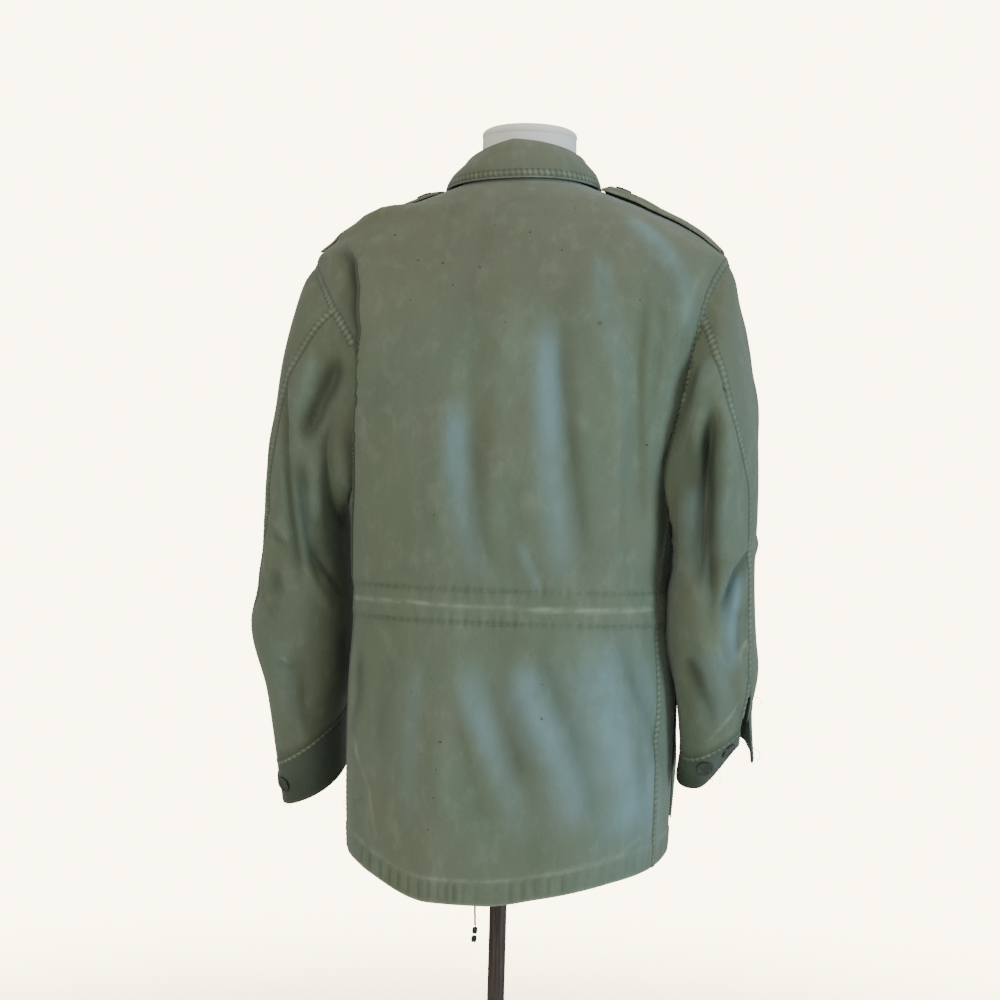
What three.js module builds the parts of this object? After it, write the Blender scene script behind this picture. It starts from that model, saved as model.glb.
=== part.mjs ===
// A military-style field jacket worn by a limbless dress form on a stand.
// Millimetres, +Z up, front facing -Y. The origin is the centre of the stand's foot, on the floor.
import * as THREE from "three";
import { mergeVertices } from "three/addons/utils/BufferGeometryUtils.js";

// Driving dimensions
const WALL = 1.6;
const SEAM_GAP = 0.4;
const SHOULDER_TIP_Z = 1314;
const ARMPIT_Z = 1045;
const WAIST_Z = 938;
const CHANNEL_HEIGHT = 34;
const HEM_BAND = 34;
const NECK = { x: 3, centreY: -22, halfWidth: 71, halfDepth: 66 };
const PLACKET = { halfWidth: 27, thickness: 1.8, lift: 0.9 };
const BUTTON = { radius: 9, thickness: 3, seatGap: 0.45 };
const CUFF = { thickness: 2.4, inset: 0.8, drop: 0.8, columns: 22 };
const POLE_RADIUS = 9.5;
const BODY_Y = -20;
const FOOT = { radius: 195, height: 26, edge: 6 };
const FORM = { bottomZ: 722, neckRadius: 53, neckTopZ: 1456, neckX: -1, neckY: -31 };

const rad = THREE.MathUtils.degToRad;
const lerp = THREE.MathUtils.lerp;
const clamp = THREE.MathUtils.clamp;

// Horizontal sections of the jacket's body, from the hem to above the neck opening
const BODY_SECTIONS = [
  { z: 625, x: -3, halfWidth: 173, back: 149, front: 152, centreY: -10, square: 2.5 },
  { z: 730, x: -2.5, halfWidth: 178.5, back: 148, front: 150, centreY: -10, square: 2.5 },
  { z: 836, x: -3, halfWidth: 180, back: 143, front: 144, centreY: -9, square: 2.5 },
  { z: 938, x: -1.5, halfWidth: 175, back: 131, front: 134, centreY: -7, square: 2.5 },
  { z: 1045, x: 0, halfWidth: 182, back: 129, front: 136, centreY: -2, square: 2.5 },
  { z: 1155, x: 0, halfWidth: 199, back: 127, front: 131, centreY: 0, square: 2.85 },
  { z: 1230, x: 0, halfWidth: 213, back: 121, front: 122, centreY: 2, square: 2.9 },
  { z: 1285, x: 0, halfWidth: 226, back: 110, front: 108, centreY: 2, square: 2.5 },
  { z: 1314, x: 0, halfWidth: 230, back: 101, front: 98, centreY: 2, square: 2.3 },
  { z: 1333, x: 0, halfWidth: 212, back: 97, front: 91, centreY: 0, square: 2.15 },
  { z: 1351, x: 3, halfWidth: 187, back: 91, front: 81, centreY: -3, square: 2.1 },
  { z: 1365, x: 9, halfWidth: 163, back: 88, front: 73, centreY: -5.5, square: 2.05 },
  { z: 1375, x: -1, halfWidth: 132, back: 85, front: 65, centreY: -8, square: 2 },
  { z: 1394, x: -2, halfWidth: 84, back: 71, front: 47, centreY: -14, square: 2 },
  { z: 1420, x: -1, halfWidth: 24, back: 30, front: 20, centreY: -20, square: 2 },
];

// The hem's height round the body: 0 at the wearer's left, 90 at the back, 180 right, 270 front
const HEM = [
  { angle: -90, z: 655 },
  { angle: -30, z: 664 },
  { angle: 0, z: 670 },
  { angle: 22, z: 663 },
  { angle: 42, z: 651 },
  { angle: 70, z: 629 },
  { angle: 92, z: 630 },
  { angle: 115, z: 641 },
  { angle: 145, z: 658 },
  { angle: 180, z: 668 },
  { angle: 230, z: 660 },
  { angle: 270, z: 655 },
];

// Long soft folds: angles and heights of both ends, half width across and depth (out is positive)
const FOLDS = [
  { name: "left back pleat trough", a0: 31, z0: 1330, a1: 17, z1: 960, width: 10, depth: -10 },
  { name: "left back pleat ridge", a0: 41, z0: 1335, a1: 27, z1: 965, width: 13, depth: 5 },
  { name: "right back trough", a0: 141, z0: 1290, a1: 150, z1: 960, width: 12, depth: -6 },
  { name: "right back ridge", a0: 126, z0: 1270, a1: 131, z1: 985, width: 18, depth: 4 },
  { name: "back ridge by the spine", a0: 97, z0: 1260, a1: 88, z1: 960, width: 22, depth: 4 },
  { name: "back trough by the spine", a0: 80, z0: 1220, a1: 74, z1: 965, width: 20, depth: -3 },
  { name: "skirt ridge right of centre", a0: 112, z0: 925, a1: 124, z1: 655, width: 26, depth: 5 },
  { name: "skirt trough at the back", a0: 96, z0: 910, a1: 99, z1: 660, width: 22, depth: -4 },
  { name: "skirt ridge left of centre", a0: 74, z0: 915, a1: 68, z1: 650, width: 26, depth: 3 },
  { name: "skirt trough by the left seam", a0: 42, z0: 905, a1: 36, z1: 660, width: 16, depth: -4 },
  { name: "left front trough", a0: 306, z0: 1060, a1: 314, z1: 900, width: 20, depth: -4 },
  { name: "right front trough", a0: 234, z0: 1060, a1: 226, z1: 900, width: 20, depth: -4 },
  { name: "left shoulder ridge", a0: 10, z0: 1336, a1: 21, z1: 1371, width: 16, depth: 5 },
  { name: "left chest ridge", a0: 312, z0: 1290, a1: 322, z1: 1090, width: 16, depth: 3 },
  { name: "right chest ridge", a0: 228, z0: 1290, a1: 218, z1: 1090, width: 16, depth: 3 },
];
const GATHER = { count: 33, depth: 0.8, reach: 42, bareFront: 16 };

// The side seam's distance behind the body's centre line
const SIDE_SEAM = [
  { z: 625, y: 46 },
  { z: 836, y: 50 },
  { z: 938, y: 46 },
  { z: 1045, y: 34 },
];

// The armhole is an oval in side view. How far it reaches back and forward of its middle, by height:
// the left one reaches far back, under the open pleat
const ARMHOLE = { centreBottomY: 34, centreTopY: 4, steps: 11 };
const ARMHOLE_REACH = [
  { z: 1045, backLeft: 62, backRight: 40, front: 66 },
  { z: 1100, backLeft: 66, backRight: 38, front: 69 },
  { z: 1155, backLeft: 74, backRight: 38, front: 71 },
  { z: 1230, backLeft: 86, backRight: 48, front: 71 },
  { z: 1285, backLeft: 76, backRight: 56, front: 66 },
  { z: 1314, backLeft: 60, backRight: 56, front: 60 },
];

// Each sleeve: x and z of its outer and inner edge, its centre line in y, half depth front to back,
// and how far its front edge rises as the arm bends forward
const SLEEVES = {
  left: {
    side: 1,
    backSeamColumn: 3,
    seamEnd: 20,
    rows: [
      { outX: 230, outZ: 1314, inX: 182, inZ: 1045, y: 18, depth: 66, rise: 0 },
      { outX: 241, outZ: 1296, inX: 187, inZ: 1036, y: 15, depth: 70, rise: 0 },
      { outX: 250, outZ: 1258, inX: 189, inZ: 1023, y: 11, depth: 75, rise: 0 },
      { outX: 262, outZ: 1200, inX: 190, inZ: 1006, y: 8, depth: 78, rise: 0 },
      { outX: 271, outZ: 1130, inX: 189, inZ: 985, y: 5, depth: 78, rise: 2 },
      { outX: 278, outZ: 1060, inX: 187, inZ: 955, y: 2, depth: 76, rise: 4 },
      { outX: 284, outZ: 985, inX: 186, inZ: 915, y: 0, depth: 73, rise: 6 },
      { outX: 297, outZ: 908, inX: 188, inZ: 868, y: -4, depth: 69, rise: 9 },
      { outX: 281, outZ: 835, inX: 192, inZ: 835, y: -16, depth: 62, rise: 14 },
      { outX: 272, outZ: 752, inX: 200, inZ: 799, y: -32, depth: 55, rise: 20 },
    ],
    cuffEnd: { outX: 270, outZ: 706, inX: 202, inZ: 733, y: -46, depth: 47, rise: 18 },
    curl: 0,
    cuffFrom: 28,
    cuffTo: 386,
    flare: 0,
    vent: 0,
    buttons: [56, 24],
    buttonAt: 0.5,
  },
  right: {
    side: -1,
    backSeamColumn: 4,
    seamEnd: 34,
    rows: [
      { outX: 230, outZ: 1314, inX: 182, inZ: 1045, y: 18, depth: 66, rise: 0 },
      { outX: 240, outZ: 1292, inX: 187, inZ: 1036, y: 15, depth: 70, rise: 0 },
      { outX: 247, outZ: 1250, inX: 189, inZ: 1023, y: 11, depth: 75, rise: 0 },
      { outX: 259, outZ: 1192, inX: 190, inZ: 1006, y: 8, depth: 78, rise: 0 },
      { outX: 268, outZ: 1125, inX: 189, inZ: 985, y: 5, depth: 78, rise: 2 },
      { outX: 270, outZ: 1055, inX: 182, inZ: 955, y: 2, depth: 76, rise: 4 },
      { outX: 268, outZ: 985, inX: 180, inZ: 915, y: -1, depth: 72, rise: 6 },
      { outX: 270, outZ: 925, inX: 184, inZ: 873, y: -6, depth: 67, rise: 9 },
      { outX: 274, outZ: 872, inX: 188, inZ: 830, y: -17, depth: 61, rise: 16 },
      { outX: 267, outZ: 829, inX: 191, inZ: 789, y: -29, depth: 55, rise: 26 },
    ],
    cuffEnd: { outX: 264, outZ: 779, inX: 186, inZ: 757, y: -41, depth: 48, rise: 21 },
    curl: 28,
    cuffFrom: 42,
    cuffTo: 380,
    flare: 8,
    vent: 9,
    buttons: [98, 62],
    buttonAt: 0.36,
  },
};

// Large folds of the sleeves: angle round the sleeve and distance down it (0 to 1) at both ends
const SLEEVE_FOLDS = {
  left: [
    { a0: 60, v0: 0.3, a1: 105, v1: 0.62, width: 11, depth: -6 },
    { a0: 40, v0: 0.42, a1: 62, v1: 0.72, width: 12, depth: 4 },
    { a0: 20, v0: 0.74, a1: 80, v1: 0.66, width: 9, depth: -5 },
    { a0: 250, v0: 0.6, a1: 320, v1: 0.7, width: 10, depth: -5 },
  ],
  right: [
    { a0: 95, v0: 0.22, a1: 82, v1: 0.68, width: 11, depth: -7 },
    { a0: 70, v0: 0.2, a1: 60, v1: 0.6, width: 13, depth: 4 },
    { a0: 25, v0: 0.62, a1: 70, v1: 0.7, width: 9, depth: -5 },
    { a0: 250, v0: 0.6, a1: 320, v1: 0.7, width: 10, depth: -5 },
  ],
};

// Pockets: centre angle and width on the front, heights of the flap's top and the pocket's bottom
const POCKETS = [
  { name: "chest_pocket_left", angle: 308, width: 122, top: 1206, bottom: 1062, flap: 58, bulge: 3 },
  { name: "chest_pocket_right", angle: 232, width: 122, top: 1206, bottom: 1062, flap: 58, bulge: 3 },
  { name: "hip_pocket_left", angle: 321, width: 186, top: 888, bottom: 700, flap: 66, bulge: 7 },
  { name: "hip_pocket_right", angle: 223, width: 186, top: 888, bottom: 700, flap: 66, bulge: 5 },
];

// The collar: height of its stand and how far its fall reaches below the neckline, by angle
const COLLAR = {
  reach: 164,
  thickness: 2,
  tilt: 3.5,
  rows: [
    { angle: 0, stand: 41, lean: 8, drop: 7, lift: 3.2 },
    { angle: 60, stand: 31, lean: 10, drop: 6, lift: 3.2 },
    { angle: 95, stand: 26, lean: 7, drop: 7, lift: 3.2 },
    { angle: 135, stand: 24, lean: 4, drop: 28, lift: 4 },
    { angle: 164, stand: 20, lean: 0, drop: 60, lift: 5 },
  ],
};

const EPAULETTES = [
  { name: "epaulette_left", side: 1, rise: 1.5, tilt: -0.5, end: 2.5 },
  { name: "epaulette_right", side: -1, rise: 3.5, tilt: 1, end: 5 },
];
const STRAP = { innerX: 93, outerX: 223, halfWidthOuter: 25, halfWidthInner: 20, thickness: 2.2 };

const CORD = { diameter: 2.6, angle: 295, length: 130, knotLength: 10, knotRadius: 4.4 };

// Interpolates a table's column smoothly and without overshoot
function column(table, key, name, at) {
  const last = table.length - 1;
  const t = clamp(at, table[0][key], table[last][key]);
  let i = 0;
  while (i < last - 1 && t > table[i + 1][key]) i += 1;
  const step = (k) => table[k + 1][key] - table[k][key];
  const slope = (k) => (table[k + 1][name] - table[k][name]) / step(k);
  const tangent = (k) => {
    if (k === 0) return slope(0);
    if (k === last) return slope(last - 1);
    const before = slope(k - 1);
    const after = slope(k);
    return before * after <= 0 ? 0 : (2 * before * after) / (before + after);
  };
  const h = step(i);
  const s = (t - table[i][key]) / h;
  const p0 = table[i][name];
  const p1 = table[i + 1][name];
  return (
    p0 * (1 + 2 * s) * (1 - s) ** 2 +
    p1 * s * s * (3 - 2 * s) +
    tangent(i) * h * s * (1 - s) ** 2 -
    tangent(i + 1) * h * s * s * (1 - s)
  );
}

function smooth(low, high, value) {
  const t = clamp((value - low) / (high - low), 0, 1);
  return t * t * (3 - 2 * t);
}

// Body section at a height
function section(z) {
  const at = (name) => column(BODY_SECTIONS, "z", name, z);
  return {
    x: at("x"),
    halfWidth: at("halfWidth"),
    back: at("back"),
    front: at("front"),
    centreY: at("centreY"),
    square: at("square"),
  };
}

// The body's smooth surface, before folds, at an angle round it and a height
function bodyBase(angle, z) {
  const s = section(z);
  const c = Math.cos(angle);
  const d = Math.sin(angle);
  const depth = d > 0 ? s.back : s.front;
  const n = s.square;
  const r = (Math.abs(c / s.halfWidth) ** n + Math.abs(d / depth) ** n) ** (-1 / n);
  return new THREE.Vector3(s.x + r * c, s.centreY + r * d, z);
}

function bodyNormal(angle, z) {
  const around = bodyBase(angle + 0.01, z).sub(bodyBase(angle - 0.01, z));
  const up = bodyBase(angle, z + 1).sub(bodyBase(angle, z - 1));
  return around.cross(up).normalize();
}

// The angle at which the section at height z reaches y, on the wearer's left (side 1) or right (-1)
function angleAtY(z, y, side) {
  const s = section(z);
  const dy = y - s.centreY;
  const depth = dy > 0 ? s.back : s.front;
  const ratio = Math.min(Math.abs(dy) / depth, 1);
  const x = s.halfWidth * (1 - ratio ** s.square) ** (1 / s.square);
  return side > 0 ? Math.atan2(dy, x) : Math.PI - Math.atan2(dy, x);
}

// Depth of a soft fold, faded at its ends, at a distance measured in millimetres
function foldDepth(along, across, fold) {
  const ends = smooth(-0.12, 0.16, along) * (1 - smooth(0.84, 1.12, along));
  return fold.depth * ends * Math.exp(-((across / fold.width) ** 2));
}

function bodyFolds(angle, z) {
  const degrees = THREE.MathUtils.radToDeg(angle);
  const radius = section(z).halfWidth * 0.85;
  let sum = 0;
  for (const fold of FOLDS) {
    const along = (fold.z0 - z) / (fold.z0 - fold.z1);
    const middle = lerp(fold.a0, fold.a1, along);
    const away = THREE.MathUtils.euclideanModulo(degrees - middle + 180, 360) - 180;
    sum += foldDepth(along, rad(away) * radius, fold);
  }
  return sum;
}

function hemHeight(angle) {
  const degrees = THREE.MathUtils.radToDeg(angle);
  const turned = THREE.MathUtils.euclideanModulo(degrees + 90, 360) - 90;
  return column(HEM, "angle", "z", turned);
}

// What stands proud of the cloth: the waist channel with its gathers, and the hem band
function bodyRelief(angle, z) {
  const fromWaist = Math.abs(z - WAIST_Z);
  const channel = 1.1 * (1 - smooth(CHANNEL_HEIGHT / 2 - 3, CHANNEL_HEIGHT / 2 + 3, fromWaist));
  const fromPlacket = Math.acos(clamp(-Math.sin(angle), -1, 1));
  const bare = smooth(rad(GATHER.bareFront), rad(GATHER.bareFront + 12), fromPlacket);
  const waves = Math.cos(GATHER.count * angle) * GATHER.depth * bare;
  const gathers = waves * (1 - smooth(8, GATHER.reach, fromWaist));
  const aboveHem = z - hemHeight(angle);
  const band = 0.9 * (1 - smooth(HEM_BAND - 3, HEM_BAND + 3, aboveHem));
  return channel + gathers + band;
}

// A point of the body's cloth, moved out from its outer face
function bodyPoint(angle, z, out = 0) {
  const n = bodyNormal(angle, z);
  const away = bodyFolds(angle, z) + bodyRelief(angle, z) + out;
  return bodyBase(angle, z).addScaledVector(n, away);
}

function bodyInner(angle, z, normal) {
  const n = bodyNormal(angle, z);
  const outer = bodyBase(angle, z).addScaledVector(n, bodyFolds(angle, z));
  return outer.addScaledVector(normal ?? n, -WALL);
}

// Height of the neck opening's edge at an angle of the section: where the yoke meets the neck oval
function neckHeight(angle) {
  let low = SHOULDER_TIP_Z;
  let high = 1424;
  for (let i = 0; i < 30; i += 1) {
    const z = (low + high) / 2;
    const p = bodyBase(angle, z);
    const across = (p.x - NECK.x) / NECK.halfWidth;
    const size = across ** 2 + ((p.y - NECK.centreY) / NECK.halfDepth) ** 2;
    if (size > 1) low = z;
    else high = z;
  }
  return (low + high) / 2;
}

// Height of the yoke above a point in plan
function yokeHeight(x, y) {
  let low = SHOULDER_TIP_Z;
  let high = 1424;
  for (let i = 0; i < 30; i += 1) {
    const z = (low + high) / 2;
    const s = section(z);
    const dy = y - s.centreY;
    const depth = dy > 0 ? s.back : s.front;
    if (Math.abs((x - s.x) / s.halfWidth) ** s.square + Math.abs(dy / depth) ** s.square > 1) high = z;
    else low = z;
  }
  return (low + high) / 2;
}

// The armhole's edge: turn 0 at the shoulder tip, pi at the armpit, 2 pi back at the tip by the front
function armholeAngle(turn, side) {
  const z = armholeHeight(turn);
  const share = (z - ARMPIT_Z) / (SHOULDER_TIP_Z - ARMPIT_Z);
  const centre = lerp(ARMHOLE.centreBottomY, ARMHOLE.centreTopY, share);
  const backEdge = side > 0 ? "backLeft" : "backRight";
  const reach = column(ARMHOLE_REACH, "z", Math.sin(turn) > 0 ? backEdge : "front", z);
  return angleAtY(z, centre + reach * Math.sin(turn), side);
}

function armholeHeight(turn) {
  const middle = (SHOULDER_TIP_Z + ARMPIT_Z) / 2;
  return middle + ((SHOULDER_TIP_Z - ARMPIT_Z) / 2) * Math.cos(turn);
}

function armholePoint(turn, side) {
  return bodyPoint(armholeAngle(turn, side), armholeHeight(turn));
}

// A sleeve's surface: turn as on the armhole, v from 0 at the armhole to 1 at the cuff
function sleeveRing(rows, v) {
  const table = rows.map((row, i) => ({ ...row, v: i / (rows.length - 1) }));
  const at = (name) => column(table, "v", name, v);
  return {
    outX: at("outX"),
    outZ: at("outZ"),
    inX: at("inX"),
    inZ: at("inZ"),
    y: at("y"),
    depth: at("depth"),
    rise: at("rise"),
  };
}

function ringPoint(ring, turn, side) {
  const c = Math.cos(turn);
  const s = Math.sin(turn);
  const full = 2.3;
  const r = (Math.abs(c) ** full + Math.abs(s) ** full) ** (-1 / full);
  const across = (r * c + 1) / 2;
  return new THREE.Vector3(
    side * lerp(ring.inX, ring.outX, across),
    ring.y + ring.depth * r * s,
    lerp(ring.inZ, ring.outZ, across) - ring.rise * r * s,
  );
}

// Where column j of a sleeve lies at v: the seams wander, the columns between them share the room
function sleeveTurn(spec, j, v) {
  const steps = ARMHOLE.steps;
  const frontColumn = 2 * steps - 6;
  const start = (k) => (k * Math.PI) / steps;
  const ease = smooth(0, 0.5, v);
  const seamBack = lerp(start(spec.backSeamColumn), rad(spec.seamEnd), ease);
  const seamFront = lerp(start(frontColumn), rad(262), ease);
  if (j <= frontColumn) {
    const share = (j - spec.backSeamColumn) / (frontColumn - spec.backSeamColumn);
    return lerp(start(j), lerp(seamBack, seamFront, share), ease);
  }
  const span = 2 * steps + spec.backSeamColumn - frontColumn;
  const share = (j - frontColumn) / span;
  return lerp(start(j), lerp(seamFront, seamBack + 2 * Math.PI, share), ease);
}

function sleeveFolds(name, turn, v) {
  const degrees = THREE.MathUtils.radToDeg(turn);
  const spec = SLEEVES[name];
  const ring = sleeveRing(spec.rows, v);
  let sum = 0;
  for (const fold of SLEEVE_FOLDS[name]) {
    const middle = new THREE.Vector2(fold.a1 - fold.a0, (fold.v1 - fold.v0) * 430);
    const here = new THREE.Vector2(degrees - fold.a0, (v - fold.v0) * 430);
    here.x = THREE.MathUtils.euclideanModulo(here.x + 180, 360) - 180;
    const scale = rad(1) * ring.depth;
    middle.x *= scale;
    here.x *= scale;
    const along = here.dot(middle) / middle.lengthSq();
    const across = here.cross(middle) / middle.length();
    sum += foldDepth(along, across, fold);
  }
  return sum * smooth(0.06, 0.2, v) * (1 - smooth(0.86, 0.97, v));
}

function sleeveBase(name, turn, v) {
  const spec = SLEEVES[name];
  const ring = sleeveRing(spec.rows, v);
  const p = ringPoint(ring, turn, spec.side);
  if (v >= 0.35) return p;
  const start = ringPoint(sleeveRing(spec.rows, 0), turn, spec.side);
  const away = armholePoint(turn, spec.side).sub(start);
  return p.addScaledVector(away, (1 - smooth(0, 0.35, v)) ** 2);
}

function sleeveNormal(name, turn, v) {
  const ahead = Math.min(v + 0.006, 1);
  const behind = Math.max(v - 0.006, 0);
  const around = sleeveBase(name, turn + 0.02, v).sub(sleeveBase(name, turn - 0.02, v));
  const down = sleeveBase(name, turn, ahead).sub(sleeveBase(name, turn, behind));
  const n = down.cross(around).normalize();
  return SLEEVES[name].side > 0 ? n : n.negate();
}

// The direction of the wall's end at the armhole, shared by the body and the sleeve, and the way
// from the body to the sleeve across the seam
function armholeRim(turn, side) {
  const name = side > 0 ? "left" : "right";
  const own = bodyNormal(armholeAngle(turn, side), armholeHeight(turn));
  const other = sleeveNormal(name, turn, 0.012);
  const outwards = new THREE.Vector3(0, Math.sin(turn), Math.cos(turn));
  const normal = own.clone().add(other).add(outwards).normalize();
  const tangent = armholePoint(turn + 0.02, side).sub(armholePoint(turn - 0.02, side));
  const across = tangent.cross(normal).normalize();
  if (across.x * side < 0 || Math.abs(across.x) < 0.02) across.negate();
  const outward = sleeveBase(name, turn, 0.03).sub(armholePoint(turn, side));
  if (across.dot(outward) < 0) across.negate();
  return { normal, across };
}

// A closed wall from two matching grids of points, the outer face and the inner one
function wallGeometry(outer, inner) {
  const rows = outer.length;
  const cols = outer[0].length;
  const points = [...outer.flat(), ...inner.flat()];
  const faces = [];
  const at = (layer, i, j) => layer * rows * cols + i * cols + j;
  const quad = (a, b, c, d) => {
    faces.push(a, b, c, a, c, d);
  };
  for (let i = 0; i < rows - 1; i += 1) {
    for (let j = 0; j < cols - 1; j += 1) {
      quad(at(0, i, j), at(0, i, j + 1), at(0, i + 1, j + 1), at(0, i + 1, j));
      quad(at(1, i, j), at(1, i + 1, j), at(1, i + 1, j + 1), at(1, i, j + 1));
    }
  }
  for (let j = 0; j < cols - 1; j += 1) {
    quad(at(0, 0, j + 1), at(0, 0, j), at(1, 0, j), at(1, 0, j + 1));
    quad(at(0, rows - 1, j), at(0, rows - 1, j + 1), at(1, rows - 1, j + 1), at(1, rows - 1, j));
  }
  for (let i = 0; i < rows - 1; i += 1) {
    quad(at(0, i, 0), at(0, i + 1, 0), at(1, i + 1, 0), at(1, i, 0));
    quad(at(0, i + 1, cols - 1), at(0, i, cols - 1), at(1, i, cols - 1), at(1, i + 1, cols - 1));
  }
  return solidGeometry(points, faces);
}

// Turns the faces round if they point inwards
function solidGeometry(points, faces) {
  let volume = 0;
  for (let k = 0; k < faces.length; k += 3) {
    const [a, b, c] = [points[faces[k]], points[faces[k + 1]], points[faces[k + 2]]];
    volume += a.dot(b.clone().cross(c));
  }
  const index = volume < 0 ? faces.slice().reverse() : faces;
  const geometry = new THREE.BufferGeometry().setFromPoints(points);
  geometry.setIndex(index);
  geometry.computeVertexNormals();
  return geometry;
}

// A closed solid lofted through rings, with a point closing each end
function loftGeometry(rings) {
  const count = rings[0].length;
  const points = rings.flat();
  const faces = [];
  for (let i = 0; i < rings.length - 1; i += 1) {
    for (let j = 0; j < count; j += 1) {
      const a = i * count + j;
      const b = i * count + ((j + 1) % count);
      faces.push(a, b, b + count, a, b + count, a + count);
    }
  }
  for (const [ring, first] of [[rings[0], true], [rings[rings.length - 1], false]]) {
    const centre = ring.reduce((sum, p) => sum.add(p), new THREE.Vector3()).divideScalar(count);
    const tip = points.push(centre) - 1;
    const base = first ? 0 : (rings.length - 1) * count;
    for (let j = 0; j < count; j += 1) {
      const a = base + j;
      const b = base + ((j + 1) % count);
      faces.push(...(first ? [b, a, tip] : [a, b, tip]));
    }
  }
  return solidGeometry(points, faces);
}

const FINISHES = {
  cloth: { color: 0x66705c, roughness: 0.92, metalness: 0 },
  button: { color: 0x2f3a33, roughness: 0.5, metalness: 0 },
  cord: { color: 0x4f4f45, roughness: 0.9, metalness: 0 },
  form: { color: 0xe6e2dc, roughness: 0.85, metalness: 0 },
  wood: { color: 0x3a2f2b, roughness: 0.6, metalness: 0 },
};

const jacket = new THREE.Group();
const form = new THREE.Group();
const stand = new THREE.Group();
jacket.position.y = BODY_Y;
form.position.y = BODY_Y;

function addPiece(group, name, geometry, finish) {
  const mesh = new THREE.Mesh(geometry, new THREE.MeshStandardMaterial(FINISHES[finish]));
  mesh.name = name;
  group.add(mesh);
  return mesh;
}

// Rows of a body panel: share 0 to 1 from the hem to the armpit, the armhole's own heights, the yoke
const SKIRT_SHARES = [0, 0.085, 0.2, 0.34, 0.48, 0.6, 0.665, 0.715, 0.765, 0.84, 0.92];
const YOKE_SHARES = [0.12, 0.3, 0.5, 0.7, 0.86, 1];

function panelRows() {
  const skirt = SKIRT_SHARES.map((share) => ({ part: "skirt", share }));
  const armhole = [];
  for (let k = ARMHOLE.steps; k >= 0; k -= 1) {
    armhole.push({ part: "armhole", turn: (k * Math.PI) / ARMHOLE.steps });
  }
  const yoke = YOKE_SHARES.map((share) => ({ part: "yoke", share }));
  return [...skirt, ...armhole, ...yoke];
}

// One edge of a panel at a row: its angle, and its rim where it meets a sleeve
function panelEdge(row, side, isBack, zAt) {
  const gap = (SEAM_GAP / 2) * (isBack ? side : -side);
  if (row.part === "armhole") {
    const turn = isBack ? row.turn : 2 * Math.PI - row.turn;
    const angle = armholeAngle(turn, side) + gap / section(armholeHeight(turn)).halfWidth;
    return { angle, rim: armholeRim(turn, side) };
  }
  if (row.part === "yoke") {
    const angle = side > 0 ? 0 : Math.PI;
    return { angle: angle + gap / section(zAt(angle)).halfWidth };
  }
  let angle = side > 0 ? 0.2 : Math.PI - 0.2;
  for (let i = 0; i < 4; i += 1) {
    const z = zAt(angle);
    angle = angleAtY(z, column(SIDE_SEAM, "z", "y", z), side);
  }
  return { angle: angle + gap / section(zAt(angle)).halfWidth };
}

// A body panel between two edges. Fronts end at the centre line, where angle is 270 degrees
function bodyPanel(left, right, isBack, columns) {
  const outer = [];
  const inner = [];
  for (const row of panelRows()) {
    const zAt = (angle) => {
      if (row.part === "skirt") return lerp(hemHeight(angle), ARMPIT_Z, row.share);
      if (row.part === "armhole") return armholeHeight(row.turn);
      return lerp(SHOULDER_TIP_Z, neckHeight(angle), row.share);
    };
    const from = left(row, zAt);
    const to = right(row, zAt);
    const turns = to.angle < from.angle ? 2 * Math.PI : 0;
    const outerRow = [];
    const innerRow = [];
    for (let j = 0; j <= columns; j += 1) {
      const angle = lerp(from.angle, to.angle + turns, j / columns);
      const edge = j === 0 ? from : j === columns ? to : {};
      const z = zAt(angle);
      const shift = edge.rim ? edge.rim.across.clone().multiplyScalar(-SEAM_GAP / 2) : null;
      const o = bodyPoint(angle, z);
      const i = bodyInner(angle, z, edge.rim?.normal);
      if (shift) {
        o.add(shift);
        i.add(shift);
      }
      outerRow.push(o);
      innerRow.push(i);
    }
    outer.push(outerRow);
    inner.push(innerRow);
  }
  return wallGeometry(outer, inner);
}

const frontCentre = (sign) => (row, zAt) => {
  const angle = 1.5 * Math.PI;
  return { angle: angle + (sign * SEAM_GAP) / 2 / section(zAt(angle)).front };
};
const bodyEdge = (side, isBack) => (row, zAt) => panelEdge(row, side, isBack, zAt);

function addBody() {
  addPiece(jacket, "back", bodyPanel(bodyEdge(1, true), bodyEdge(-1, true), true, 26), "cloth");
  const leftFront = bodyPanel(frontCentre(1), bodyEdge(1, false), false, 13);
  addPiece(jacket, "front_left", leftFront, "cloth");
  const rightFront = bodyPanel(bodyEdge(-1, false), frontCentre(-1), false, 13);
  addPiece(jacket, "front_right", rightFront, "cloth");
}

// Two pieces of cloth per sleeve, divided by the back seam and the front seam
const SLEEVE_ROWS = [0, 0.05, 0.11, 0.17, 0.24, 0.31, 0.38, 0.46, 0.54, 0.61, 0.68, 0.75, 0.83, 0.91, 1];

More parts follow.
